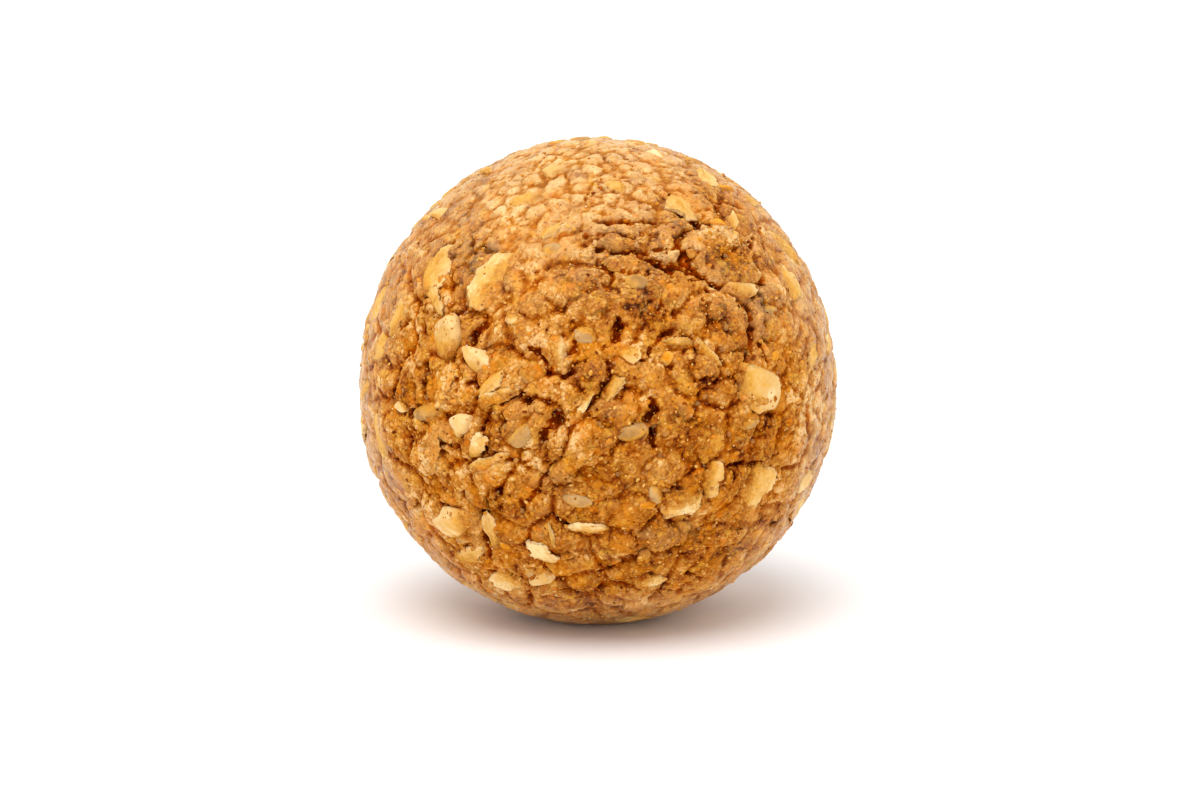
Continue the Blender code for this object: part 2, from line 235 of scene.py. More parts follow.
# What lies loose over the ball, and its tree's inputs: the least gap between two, how many to a square metre,
# the least and greatest size, how tall they are as a share of their width, and the seed.
LOOSE_INPUTS = ("Spacing", "Density", "Least", "Most", "Flatness", "Seed")
LOOSE = {
    "crumbs": (0.00030, 3.2e6, 0.00019, 0.00056, 0.7, SEED + 2),
    "nut_meal": (0.00032, 2.6e6, 0.00015, 0.00040, 0.7, SEED + 5),
    "bran_specks": (0.00055, 0.50e6, 0.00008, 0.00042, 0.35, SEED + 3),
    "glints": (0.00080, 0.07e6, 0.00007, 0.00016, 1.0, SEED + 4),
}

# Lumps of dough: across, above, length and width in millimetres, turn in degrees, and how proud they stand.
CLUMPS = [
    (10.5, 10.9, 7.0, 4.2, -22, 1.4),
    (10.1, 5.6, 5.5, 4.7, 0, 0.55),
    (2.6, 10.5, 4.2, 1.3, -12, 0.7),
    (1.8, 12.0, 3.7, 0.9, -4, 0.7),
    (8.4, 1.4, 4.2, 3.5, 20, 0.55),
    (-1.1, 0.1, 4.7, 3.2, 45, 0.6),
    (-5.9, -3.2, 4.0, 3.7, 0, 0.5),
    (-0.4, -3.8, 8.0, 4.2, 35, 0.6),
]

# Cracks: depth and half width in millimetres, then the points across and above.
CRACKS = [
    (1.15, 0.75, [(4.3, 10.7), (5.3, 10.5), (6.3, 10.0), (7.8, 11.0)]),
    (0.39, 0.48, [(0.3, 10.5), (1.2, 9.5), (0.9, 8.5)]),
    (0.33, 0.36, [(-5.1, 9.8), (-5.0, 9.0)]),
    (0.39, 0.4, [(-6.5, 6.2), (-6.1, 6.1)]),
    (0.75, 0.68, [(-9.6, 5.4), (-10.1, 4.8), (-10.5, 3.9)]),
    (0.59, 0.48, [(-5.8, 3.4), (-4.7, 2.8), (-4.3, 1.8), (-4.1, 0.8)]),
    (0.52, 0.44, [(-1.8, 3.8), (-2.6, 2.8), (-3.4, 2.0), (-4.3, 0.8)]),
    (1.05, 0.72, [(1.8, 5.4), (1.7, 4.1)]),
    (0.39, 0.4, [(1.6, 1.3), (0.7, 0.0), (-0.2, -1.3)]),
    (0.9, 0.6, [(-3.1, -2.3), (-3.9, -3.2), (-4.7, -4.4)]),
    (0.39, 0.36, [(-6.4, -0.3), (-7.4, -0.8), (-8.1, -1.4)]),
    (0.45, 0.4, [(-6.3, -0.8), (-4.8, -1.0), (-3.1, -1.8)]),
    (0.52, 0.44, [(-4.3, -7.3), (-4.9, -8.1), (-5.6, -9.2), (-6.4, -10.1)]),
    (0.39, 0.36, [(-11.9, 0.6), (-11.8, -0.4)]),
    (0.33, 0.36, [(-10.8, 0.3), (-9.9, 0.2)]),
    (0.52, 0.48, [(-13.3, -4.8), (-11.6, -5.2)]),
    (0.85, 0.56, [(-11.4, -9.2), (-10.5, -9.5), (-9.7, -9.9), (-9.6, -11.5), (-9.4, -13.5), (-9.2, -14.6)]),
    (0.85, 0.6, [(4.7, -1.1), (4.9, -2.1), (4.3, -2.8)]),
    (0.85, 0.6, [(5.1, -3.7), (4.6, -4.5)]),
    (0.45, 0.4, [(6.8, 4.9), (5.4, 4.3), (4.6, 3.4), (4.1, 2.3)]),
    (0.8, 0.56, [(13.1, 6.6), (13.4, 5.2), (13.1, 3.9)]),
    (0.45, 0.4, [(13.8, 3.7), (14.4, 2.7)]),
    (0.59, 0.48, [(8.0, 13.8), (8.4, 13.2), (9.2, 13.2)]),
    (0.39, 0.36, [(7.9, 9.1), (9.6, 8.9), (11.6, 8.5)]),
    (0.45, 0.4, [(12.8, 12.3), (12.6, 11.6)]),
    (0.39, 0.36, [(14.1, -6.4), (11.6, -6.7), (11.5, -7.8)]),
    (0.52, 0.48, [(-4.4, -17.7), (-3.4, -17.7)]),
    (0.39, 0.4, [(7.8, -15.9), (8.8, -16.4)]),
    (0.45, 0.4, [(0.3, 13.8), (2.4, 13.6), (4.6, 13.8)]),
    (0.4, 0.4, [(-1.1, 12.9), (1.4, 12.6), (3.8, 12.6)]),
    (0.52, 0.42, [(0.3, 11.3), (3.6, 11.3), (6.5, 11.6)]),
    (0.39, 0.36, [(17.7, 5.2), (17.7, 3.5)]),
    (0.45, 0.44, [(8.6, 0.3), (9.1, 0.7)]),
]

# Spots where the dough is painted paler or darker than elsewhere, the paler ones near the outline's left and
# right edges as painted rim light: across, above, reach in millimetres, and by how much.
SHADES = [
    (-10.0, 10.0, 2.4, -0.34),
    (-6.0, 6.0, 2.2, 0.14),
    (-2.0, 14.0, 2.2, 0.1),
    (2.0, 6.0, 2.2, -0.12),
    (2.0, 10.5, 2.6, 0.2),
    (6.3, 13.0, 1.6, -0.26),
    (9.5, 10.5, 1.4, -0.22),
    (10.0, 12.3, 0.9, 0.16),
    (18.0, 4.0, 1.6, -0.3),
    (-18.5, 0.0, 2.0, 0.15),
    (11.8, 13.3, 1.4, -0.2),
    (14.0, 6.0, 2.4, -0.18),
    (-2.0, 0.0, 3.0, 0.11),
    (6.0, -2.0, 1.8, -0.18),
    (10.0, -2.0, 2.4, 0.26),
    (-15.0, -9.5, 2.0, 0.5),
    (-9.0, -10.5, 1.4, -0.44),
    (-3.0, -11.0, 3.2, 0.12),
    (-2.0, -6.0, 2.6, 0.08),
    (18.1, -1.5, 3.0, 0.36),
    (14.0, -6.0, 2.2, 0.09),
    (16.2, -7.2, 1.8, 0.16),
    (2.0, -18.0, 2.8, -0.12),
]

# Where the dough is wrinkled or pebbled: a direction, how far the patch reaches in degrees, and how strongly.
# A wrinkled patch also has the direction that runs across its wrinkles.
WRINKLED = [
    ((0.12, -0.78, 0.62), 17, 1.0, (0.1, 0.65, 0.75)),
    ((0.525, -0.549, 0.651), 11, 0.8, (0.37, 0.16, 0.92)),
    ((0.9, -0.25, -0.25), 26, 0.6, (0.3, 0.95, 0.1)),
    ((-0.6, 0.6, 0.5), 30, 0.8, (0.7, 0.7, 0.1)),
    ((0.45, 0.85, -0.1), 28, 0.7, (0.2, 0.1, 0.97)),
]
PEBBLED = [
    ((-0.12, -0.35, 0.93), 44, 1.0),
    ((0.62, -0.55, 0.55), 24, 0.4),
    ((-0.8, 0.45, -0.35), 34, 0.8),
    ((0.2, 0.95, 0.3), 30, 0.7),
]

# Where the dough is plain and fine-grained, with few cracks.
PLAIN = [
    ((0.42, -0.83, -0.36), 30, 1.0),
    ((0.15, -0.92, -0.34), 32, 0.9),
    ((0.5, -0.865, 0.03), 16, 0.9),
    ((0.05, -0.8, -0.6), 22, 0.7),
    ((-0.42, -0.8, 0.42), 18, 0.6),
    ((-0.5, 0.75, -0.4), 30, 0.8),
]

# The dough's own relief, in metres: four sizes of rounded lumps pressed together, the crown's pillows, the
# wrinkles, and the levels that rolling between the palms holds them to.
DOUGH_SIZES = {
    "Lump size": 0.0033,
    "Lump height": 0.00044,
    "Lump shoulder": 0.00120,
    "Clod size": 0.0017,
    "Clod height": 0.00022,
    "Clod shoulder": 0.00070,
    "Pebble size": 0.00090,
    "Pebble height": 0.00011,
    "Pebble shoulder": 0.00042,
    "Crumb size": 0.00048,
    "Crumb height": 0.00006,
    "Crumb shoulder": 0.00020,
    "Pillow size": 0.0015,
    "Pillow height": 0.00034,
    "Pillow shoulder": 0.00090,
    "Wrinkle height": 0.00016,
    "Seat depth": 0.00016,
    "Usual height": 0.00032,
    "Rolled level": 0.00012,
    "Clump stand": 0.00042,
    "Top level": 0.00010,
}

# The dough's colours from its darkest tone to its palest.
DOUGH_TONES = [
    (0.0, (0.07, 0.008, 0.001)),
    (0.16, (0.22, 0.042, 0.003)),
    (0.34, (0.36, 0.097, 0.006)),
    (0.5, (0.447, 0.143, 0.012)),
    (0.66, (0.542, 0.208, 0.028)),
    (0.82, (0.668, 0.309, 0.07)),
    (1.0, (0.84, 0.52, 0.22)),
]

# Stains in the dough: where in the noise, how broad, from what level of it, how strong, and the colour.
DOUGH_PATCHES = [
    (0.01, 0.0026, 0.5, 0.6, (0.7, 0.235, 0.01)),
    (0.03, 0.0031, 0.52, 0.4, (0.66, 0.33, 0.09)),
    (0.05, 0.0012, 0.54, 0.55, (0.78, 0.38, 0.045)),
    (0.07, 0.0015, 0.56, 0.5, (0.36, 0.11, 0.008)),
    (0.09, 0.0007, 0.54, 0.5, (0.4, 0.17, 0.02)),
    (0.11, 0.0006, 0.56, 0.5, (0.8, 0.3, 0.01)),
]

# Specks in the dough: how far apart, their reach as a share of that, how many, how strong, and the colour.
DOUGH_SPECKS = [
    (0.00034, 0.42, 0.28, 0.6, (0.26, 0.06, 0.006)),
    (0.00042, 0.46, 0.24, 0.4, (0.84, 0.46, 0.11)),
    (0.00085, 0.17, 0.5, 0.8, (0.15, 0.028, 0.004)),
    (0.00125, 0.32, 0.25, 0.6, (0.7, 0.2, 0.006)),
]

# What the dough's finish reads from the skin under it.
DOUGH_MARKS = (
    "high_fine",
    "high_broad",
    "cut",
    "clump",
    "torn",
    "shade",
    "plain",
    "pebbled",
    "palmed",
    "wrinkled",
)

# The dough's usual tone, from 0 to 1, and how much paler or darker it is where the skin is marked. The paler
# tone on torn clump rims, pebbled patches and the palms' ring is partly painted light: a highlight on the
# clumps' upper rims and the crown, and rim light round the outline the camera sees.
USUAL_TONE = 0.57
TONE_CHANGES = {"torn": 0.50, "pebbled": 0.10, "palmed": 0.05, "plain": -0.18, "clump": -0.26}

# Sizes in the dough's finish, in metres.
GRAIN_SIZE = 0.00030
CRUMB_SIZE = 0.00036
CLOD_SIZE = 0.00078
CHIP_SIZE = 0.0011
FOLD_SIZE = 0.0009

# Colours that lie over the others: the film of meal, partly painted light on the crown and round the outline;
# painted shade, with some oil, in low places and deep in valleys; oil soaked into a piece; and flour on a
# broken rim, partly a painted highlight.
FILM_AND_LIGHT_COLOUR = (0.80, 0.53, 0.25)
LOW_OIL_AND_SHADE = (0.90, 0.76, 0.40)
VALLEY_OIL_AND_SHADE = (0.60, 0.23, 0.02)
SOAKED_COLOUR = (0.74, 0.36, 0.045)
FLOUR_AND_HIGHLIGHT_COLOUR = (0.92, 0.70, 0.38)

# The unvarying part of each finish: soft and oily for dough, firmer for pieces, and for loose crumbs.
SOFT = {
    "Subsurface_Weight": 0.25,
    "Subsurface_Scale": 0.0006,
    "Subsurface_Radius": (1.0, 0.50, 0.18),
    "Specular_IOR_Level": 0.0,
    "Coat_Roughness": 0.30,
    "Coat_IOR": 1.24,
}
FIRM = {**SOFT, "Subsurface_Weight": 0.12, "Subsurface_Scale": 0.0003}
GLASSY = {**SOFT, "Subsurface_Weight": 0.4}
CRUMBLY = {**SOFT, "Subsurface_Weight": 0.10, "Subsurface_Scale": 0.0001}


def unit(vectors):
    """Vectors scaled to length 1, row by row."""
    return vectors / np.linalg.norm(vectors, axis=-1, keepdims=True)


def seen(places):
    """Directions from the heart to the skin that the camera sees at these millimetres across and above."""
    places = np.atleast_2d(np.asarray(places, float)) * MM
    eye = EYE_BACK * EYE_DISTANCE
    sight = unit(places[:, :1] * EYE_RIGHT + places[:, 1:2] * EYE_UP - eye)
    along = sight @ eye
    depth = np.maximum(along**2 - EYE_DISTANCE**2 + RADIUS**2, 0)
    return unit(eye + sight * (-along - np.sqrt(depth))[:, None])


def egg_radius(directions):
    """The plain ball: round from above, and a little taller above its widest ring than below it."""
    tall = np.where(directions[:, 2] > 0, CROWN, BELLY)
    flat_part = (directions[:, 0] ** 2 + directions[:, 1] ** 2) / RADIUS**2
    return 1 / np.sqrt(flat_part + directions[:, 2] ** 2 / tall**2)


def off_flat(directions):
    """0 on the flat that the ball rests on, rising to 1 a little way out."""
    out = np.hypot(directions[:, 0], directions[:, 1]) * RADIUS
    return np.where(directions[:, 2] < 0, np.clip((out - REST_RADIUS) / FLAT_MARGIN, 0, 1), 1)


def eased(share):
    """A share from 0 to 1 that starts and ends softly."""
    return share * share * (3 - 2 * share)


def palmed(directions):
    """1 where the palms pressed the skin smooth: a ring round the outline the camera sees, where the finish
    paints rim light, and patches on its back.
    """
    sway = np.array([noise.noise(Vector(direction * 3.1)) for direction in directions])
    patch = np.array([noise.noise(Vector(direction * 2.3 + 5 * np.ones(3))) for direction in directions])
    front = directions @ EYE_BACK - PALM_RING - PALM_SWAY * sway - PALM_SWAY * directions[:, 0] ** 4
    share = 1 - np.abs(front) / PALM_REACH
    return eased(np.clip(np.where(front < 0, np.maximum(share, 0.35 + 1.6 * patch), share), 0, 1))


def broad_relief(directions):
    """The hands' broad unevenness and the creases between rolled lumps, as in the solid."""
    swell = np.empty(len(directions))
    crease = np.empty(len(directions))
    for k, direction in enumerate(directions):
        place = Vector(direction * RADIUS)
        near, second = noise.voronoi(place / LUMP_SIZE)[0][:2]
        patch = min(max(0.75 + noise.noise(place / ROUGH_PATCH), 0.0), 1.0)
        crease[k] = max(1 - (second - near) / CREASE_SPREAD, 0.0) ** 2 * patch
        swell[k] = noise.noise(place / SWELL_SIZE)
    return (swell * SWELL_HEIGHT - crease * CREASE_DEPTH) * off_flat(directions)


def lay(rows):
    """Where each placed row lies: its direction, its long side, and its true length and width in metres."""
    rows = np.array([row[:5] for row in rows])
    normal = seen(rows[:, :2])
    turn = np.radians(rows[:, 4])
    facing = np.maximum(normal @ EYE_BACK, 0.35)
    looks = np.cos(turn)[:, None] * EYE_RIGHT + np.sin(turn)[:, None] * EYE_UP
    long_side = looks - EYE_BACK * (np.sum(looks * normal, 1) / facing)[:, None]
    long_side -= normal * np.sum(long_side * normal, 1)[:, None]
    stretch = np.minimum(np.linalg.norm(long_side, axis=1), 1.8)
    side = unit(np.cross(normal, long_side))
    seen_side = np.sqrt(np.maximum(1 - (side @ EYE_BACK) ** 2, 0.3))
    return normal, unit(long_side), rows[:, 2] * MM * stretch, rows[:, 3] * MM / seen_side


def patch_strength(directions, patches):
    """How strongly each direction lies in any of these patches."""
    strength = np.zeros(len(directions))
    for middle, reach, full in patches:
        away = np.degrees(np.arccos(np.clip(directions @ unit(np.array(middle)), -1, 1)))
        strength = np.maximum(strength, full * eased(np.clip(1.15 - away / reach, 0, 1)))
    return strength


def shades(directions):
    """How much paler or darker the dough is painted at each direction, partly as rim light near the outline.
    """
    shade = np.zeros(len(directions))
    for across, above, reach, change in SHADES:
        away = np.arccos(np.clip(directions @ seen((across, above))[0], -1, 1)) * RADIUS / MM
        shade += change * np.exp(-((away / reach) ** 2))
    return shade


def strewn_directions(count, lowest, draw):
    """Directions spread evenly over the ball down to a height, each nudged a little."""
    k = np.arange(count)
    height = 1 - (k + 0.5) * (1 - lowest) / count
    turn = k * math.pi * (3 - math.sqrt(5)) + draw.uniform(-0.5, 0.5, count)
    height = np.clip(height + draw.uniform(-0.5, 0.5, count) / count, -0.98, 1)
    ring = np.sqrt(1 - height**2)
    return np.stack((ring * np.cos(turn), ring * np.sin(turn), height), 1)


def crack_lines():
    """Every crack as (depth, half width, points on the nominal ball), placed and strewn."""
    radius = RADIUS
    lines = [(depth * MM, half * MM, seen(points) * radius) for depth, half, points in CRACKS]
    draw = np.random.default_rng(SEED + 1)
    for direction in strewn_directions(120, -0.9, draw):
        heading = unit(np.cross(direction, draw.normal(size=3)))
        half = draw.uniform(0.35, 0.60)
        depth = half * draw.uniform(0.9, 1.3)
        place = direction
        points = [place]
        for _ in range(draw.integers(1, 4)):
            heading = unit(heading + 0.5 * draw.normal(size=3))
            place = unit(place + heading * draw.uniform(0.04, 0.08))
            points.append(place)
        if direction @ EYE_BACK < 0.25:
            lines.append((depth * MM, half * MM, np.array(points) * radius))
    return lines


def crack_cut(places, lines):
    """How deep the cracks cut at places on the nominal ball, with soft shoulders and a rounded bottom."""
    cut = np.zeros(len(places))
    for depth, half, points in lines:
        near = np.full(len(places), 1.0)
        for start, end in zip(points, points[1:]):
            run = end - start
            share = np.clip((places - start) @ run / (run @ run), 0, 1)
            near = np.minimum(near, np.linalg.norm(places - start - share[:, None] * run, axis=1))
        inside = np.clip(1 - (near / half) ** 2, 0, 1)
        cut = np.maximum(cut, depth * inside**2)
    return cut


def clump_rise(places):
    """How high the clumps stand at places on the nominal ball, and how torn and crumbly their edges are, most
    on the upper side, which the finish also paints pale as a highlight.
    """
    rise = np.zeros(len(places))
    moat = np.zeros(len(places))
    torn = np.zeros(len(places))
    stands = [row[5] for row in CLUMPS]
    for normal, long_side, length, width, stand in zip(*lay(CLUMPS), stands):
        offset = places - normal * RADIUS
        along = offset @ long_side / (length / 2)
        across = offset @ np.cross(normal, long_side) / (width / 2)
        spread = along**2 + across**2
        same_side = places @ normal > 0
        lump = np.where((spread < 1) & same_side, np.sqrt(np.clip(1 - spread, 0, 1)), 0)
        rise = np.maximum(rise, CLUMP_HEIGHT * stand * lump)
        from_rim = (np.sqrt(spread) - 1.05) * width / 2 / CLUMP_MOAT
        moat = np.maximum(moat, np.where(same_side, stand * np.exp(-(from_rim**2)), 0))
        # The upper side of a rim counts most: the finish paints it pale as light from above.
        upper = np.clip(0.6 + 0.6 * offset @ EYE_UP / (width / 2), 0.1, 1)
        edge = np.exp(-(((np.sqrt(spread) - 0.70) / 0.24) ** 2)) * upper
        torn = np.maximum(torn, np.where(same_side, (stand / 1.4) ** 2 * edge, 0))
    return rise - CLUMP_HEIGHT * 0.70 * moat, torn


class Wire:
    """A value that runs between nodes. Arithmetic on it adds the nodes."""

    def __init__(self, bench, socket):
        self.bench = bench
        self.socket = socket

    def maths(self, operation, *others):
        return self.bench.maths(operation, self, *others)

    def __add__(self, other):
        return self.maths("ADD", other)

    def __sub__(self, other):
        return self.maths("SUBTRACT", other)

    def __mul__(self, other):
        return self.maths("MULTIPLY", other)

    def __truediv__(self, other):
        return self.maths("DIVIDE", other)

    def __pow__(self, other):
        return self.maths("POWER", other)

    def __rsub__(self, other):
        return self.bench.maths("SUBTRACT", other, self)

    def __rtruediv__(self, other):
        return self.bench.maths("DIVIDE", other, self)

    __radd__ = __add__
    __rmul__ = __mul__

    def least(self, other):
        return self.maths("MINIMUM", other)

    def most(self, other):
        return self.maths("MAXIMUM", other)

    def held(self):
        """The value held between 0 and 1."""
        return self.most(0.0).least(1.0)

    def beside(self, name):
        """Another output of the same node."""
        return Wire(self.bench, self.socket.node.outputs[name])


class Bench:
    """A node tree under construction."""

    def __init__(self, tree):
        self.tree = tree

    def add(self, kind, settings, values, output=0):
        """Adds a node with its settings, then the values or wires of its sockets, and gives an output."""
        made = self.tree.nodes.new(kind)
        stops = settings.pop("stops", None)
        for key, value in settings.items():
            setattr(made, key, value)
        if stops:
            made.color_ramp.interpolation = "EASE"
            while len(made.color_ramp.elements) < len(stops):
                made.color_ramp.elements.new(0.5)
            for element, (place, colour) in zip(made.color_ramp.elements, stops):
                element.position = place
                element.color = (*colour, 1.0)
        for key, value in values.items():
            if isinstance(value, Wire):
                self.tree.links.new(value.socket, made.inputs[key])
            else:
                made.inputs[key].default_value = value
        return Wire(self, made.outputs[output])

    def maths(self, operation, *values):
        return self.add("ShaderNodeMath", {"operation": operation}, dict(enumerate(values)))

    def vector(self, operation, *values, output=0):
        return self.add("ShaderNodeVectorMath", {"operation": operation}, dict(enumerate(values)), output)

    def scaled(self, wire, factor):
        return self.add("ShaderNodeVectorMath", {"operation": "SCALE"}, {0: wire, "Scale": factor})

    def dot(self, first, second):
        return self.vector("DOT_PRODUCT", first, second, output=1)

    def shifted(self, place, way, far):
        """A place moved along a vector, this many times the vector's length."""
        return self.vector("ADD", place, self.scaled(way, far))

    def whole(self, *numbers):
        """A vector made of its numbers."""
        return self.add("ShaderNodeCombineXYZ", {}, dict(enumerate(numbers)))

    def centred(self, chances):
        """A vector of chances from 0 to 1, made to run from -0.5 to 0.5."""
        return self.vector("SUBTRACT", chances, (0.5, 0.5, 0.5))

    def sway(self, place, size, detail=1.0, roughness=0.5):
        """Smooth noise as a vector whose numbers run from -0.5 to 0.5."""
        return self.centred(self.cloud(place, size, detail, roughness, 1))

    def cloud(self, place, size, detail=2.0, roughness=0.5, output=0):
        """Smooth noise from 0 to 1 whose features are this big, in metres."""
        values = {"Vector": place, "Scale": 1 / size, "Detail": detail, "Roughness": roughness}
        return self.add("ShaderNodeTexNoise", {}, values, output)

    def cells(self, place, size, feature="F1", output="Distance", **values):
        """Cells of this size: how far to a cell's middle or edge, in cells, or the cell's own colour."""
        sockets = {"Vector": place, "Scale": 1 / size, **values}
        return self.add("ShaderNodeTexVoronoi", {"feature": feature}, sockets, output)

    def fade(self, value, low, high):
        """0 below low, 1 above high, and a smooth rise between. With low above high it falls."""
        turned = low > high
        ends = (high, low) if turned else (low, high)
        values = {"Value": value, "From Min": ends[0], "From Max": ends[1]}
        made = self.add("ShaderNodeMapRange", {"interpolation_type": "SMOOTHSTEP"}, values)
        return 1 - made if turned else made

    def ramp(self, value, stops):
        return self.add("ShaderNodeValToRGB", {"stops": stops}, {"Fac": value})

    def tint(self, factor, first, second, way="MIX"):
        """Two colours mixed."""
        first = (*first, 1.0) if isinstance(first, tuple) else first
        second = (*second, 1.0) if isinstance(second, tuple) else second
        settings = {"data_type": "RGBA", "blend_type": way}
        return self.add("ShaderNodeMix", settings, {0: factor, 6: first, 7: second}, 2)

    def parts(self, wire):
        """The three numbers of a vector or colour."""
        split = self.tree.nodes.new("ShaderNodeSeparateXYZ")
        self.tree.links.new(wire.socket, split.inputs[0])
        return [Wire(self, output) for output in split.outputs]


class Shape(Bench):
    """A Geometry Nodes tree with named inputs. It ends in Realize Instances and Set Material."""

    def __init__(self, name, inputs):
        super().__init__(bpy.data.node_groups.new(name, "GeometryNodeTree"))
        self.inputs = {}
        face = self.tree.interface
        face.new_socket("Geometry", in_out="INPUT", socket_type="NodeSocketGeometry")
        for label, value in inputs.items():
            kind = "NodeSocketMaterial" if label == "Finish" else "NodeSocketFloat"
            kind = "NodeSocketInt" if isinstance(value, int) else kind
            self.inputs[label] = (face.new_socket(label, in_out="INPUT", socket_type=kind), value)
        face.new_socket("Geometry", in_out="OUTPUT", socket_type="NodeSocketGeometry")
        self.source = self.tree.nodes.new("NodeGroupInput")
        self.given = Wire(self, self.source.outputs["Geometry"])

    def value(self, label):
        return Wire(self, self.source.outputs[label])

    def field(self, name, kind="FLOAT"):
        return self.add("GeometryNodeInputNamedAttribute", {"data_type": kind}, {"Name": name})

    def arrow(self, name):
        """A vector that is stored under a name."""
        return self.field(name, "FLOAT_VECTOR")

    def here(self):
        """Where each point is."""
        return self.add("GeometryNodeInputPosition", {}, {})

    def outward(self, place):
        """The direction from the ball's heart to a place."""
        return self.vector("NORMALIZE", self.vector("SUBTRACT", place, tuple(HEART)))

    def real(self, geometry):
        """Instances made into plain mesh."""
        return self.add("GeometryNodeRealizeInstances", {}, {"Geometry": geometry})

    def keep(self, geometry, name, value, kind="FLOAT"):
        """Stores a value at each point under a name, for the finish to read."""
        settings = {"data_type": kind, "domain": "POINT"}
        values = {"Geometry": geometry, "Name": name, "Value": value}
        return self.add("GeometryNodeStoreNamedAttribute", settings, values)

    def joined(self, wires):
        """Several geometries as one."""
        made = self.tree.nodes.new("GeometryNodeJoinGeometry")
        for wire in wires:
            self.tree.links.new(wire.socket, made.inputs[0])
        return Wire(self, made.outputs[0])

    def above_ground(self, place):
        """The same place, but never below the flat that the ball rests on."""
        across, along, height = self.parts(place)
        return self.whole(across, along, height.most(0.0))

    def moved(self, geometry, place):
        return self.add("GeometryNodeSetPosition", {}, {"Geometry": geometry, "Position": place})

    def nudged(self, geometry, offset):
        return self.add("GeometryNodeSetPosition", {}, {"Geometry": geometry, "Offset": offset})

    def build(self, geometry, start):
        """Ends the tree, runs it on an object's mesh and gives the plain mesh it makes."""
        real = self.add("GeometryNodeSetShadeSmooth", {}, {"Geometry": self.real(geometry)})
        finish = {"Geometry": real, "Material": self.value("Finish")}
        last = self.add("GeometryNodeSetMaterial", {}, finish)
        end = self.tree.nodes.new("NodeGroupOutput")
        self.tree.links.new(last.socket, end.inputs[0])
        modifier = start.modifiers.new(self.tree.name, "NODES")
        modifier.node_group = self.tree
        for socket, value in self.inputs.values():
            modifier[socket.identifier] = value
        bpy.context.view_layer.update()
        graph = bpy.context.evaluated_depsgraph_get()
        mesh = bpy.data.meshes.new_from_object(start.evaluated_get(graph))
        start.modifiers.clear()
        old = start.data
        start.data = mesh
        bpy.data.meshes.remove(old)
        return start


def store(mesh, name, values):
    """Keeps numbers or vectors on a mesh's points."""
    values = np.asarray(values, float)
    kind, key = ("FLOAT_VECTOR", "vector") if values.ndim == 2 else ("FLOAT", "value")
    mesh.attributes.new(name, kind, "POINT").data.foreach_set(key, values.ravel())


def shown_object(name, mesh):
    """A new object in the scene with this mesh."""
    made = bpy.data.objects.new(name, mesh)
    bpy.context.scene.collection.objects.link(made)
    return made


def points_object(name, places, fields):
    """An object of loose points with numbers or vectors stored on each."""
    mesh = bpy.data.meshes.new(name)
    mesh.vertices.add(len(places))
    mesh.vertices.foreach_set("co", np.asarray(places, float).ravel())
    for label, values in fields.items():
        store(mesh, label, values)
    return shown_object(name, mesh)


def corners(ball):
    """Where the points of a ball's mesh are."""
    places = np.empty(len(ball.data.vertices) * 3)
    ball.data.vertices.foreach_get("co", places)
    return places.reshape(-1, 3)


def blank_ball():
    """A ball of even squares and its points' directions, closer together on the side that the camera sees."""
    tree = Shape("blank_ball", {"Squares": SKIN_SIDE, "Finish": None})
    side = tree.value("Squares")
    sizes = {"Size": (2, 2, 2), "Vertices X": side, "Vertices Y": side, "Vertices Z": side}
    blank = tree.build(tree.add("GeometryNodeMeshCube", {}, sizes), points_object("dough", [(0, 0, 0)], {}))
    directions = unit(np.tan(corners(blank) * math.pi / 4))
    return blank, unit(directions + SKIN_PULL * EYE_BACK)


def ridge_places(places):
    """Coordinates whose short way runs across the wrinkles of the nearest wrinkled patch."""
    best = np.full(len(places), -1.0)
    found = np.zeros((len(places), 3))
    for middle, reach, full, across in WRINKLED:
        strength = patch_strength(places / RADIUS, [(middle, reach, full)])
        across = unit(np.array(across))
        level = places @ across
        bent = (places - level[:, None] * across) / WRINKLE_LENGTH + (level / WRINKLE_WIDTH)[:, None] * across
        found = np.where((strength > best)[:, None], bent, found)
        best = np.maximum(best, strength)
    return found


def seats(places, laid):
    """How far the pressed-in pieces hold the dough down under them, from 0 to 1."""
    calm = np.zeros(len(places))
    for normal, long_side, length, width in laid:
        offset = places - normal * RADIUS
        close = np.einsum("ij,ij->i", offset, offset) < (0.9 * length + 0.001) ** 2
        offset = offset[close]
        along = np.abs(offset @ long_side) / (length / 2)
        across = np.abs(offset @ np.cross(normal, long_side)) / (width / 2)
        spread = (along**2.5 + across**2.5) ** (1 / 2.5)
        calm[close] = np.maximum(calm[close], np.clip((0.88 - spread) / 0.36, 0, 1))
    return calm


def stray(places, per_metre):
    """A vector at each place that wanders smoothly, this many times to the metre."""
    return np.array([noise.noise_vector(Vector(place * per_metre)) for place in places])


def rough_ball(laid):
    """The solid's form, with cracks and clumps, and on each point what the dough's tree and finish read."""
    ball, directions = blank_ball()
    places = directions * RADIUS
    noise.seed_set(SEED)
    broad = stray(places, 800)
    fine = stray(places, 2000)
    off = off_flat(directions)
    cut = crack_cut(places + (broad + 0.5 * fine) * CRACK_STRAY, crack_lines()) * off
    rise, torn = clump_rise(places + broad * CLUMP_STRAY + fine * CLUMP_FINE_STRAY)
    smooth = palmed(directions)
    cut *= 1 - 0.9 * smooth
    pebbled = patch_strength(directions, PEBBLED)
    loft = broad_relief(directions) * (1 - 0.4 * smooth) * (1 - 0.7 * pebbled) + rise - cut
    points = HEART + directions * (egg_radius(directions) + loft)[:, None]
    ball.data.vertices.foreach_set("co", points.ravel())
    fields = {
        "cut": cut / MM,
        "calm": seats(places, laid),
        "clump": np.clip(rise / CLUMP_HEIGHT, 0, 1),
        "torn": torn,
        "shade": shades(directions),
        "loft": loft,
        "off_flat": off,
        "palmed": smooth,
        "wrinkled": patch_strength(directions, [row[:3] for row in WRINKLED]),
        "pebbled": pebbled,
        "plain": patch_strength(directions, PLAIN),
        "ridge_place": ridge_places(places),
    }
    for name, values in fields.items():
        store(ball.data, name, values)
    return ball


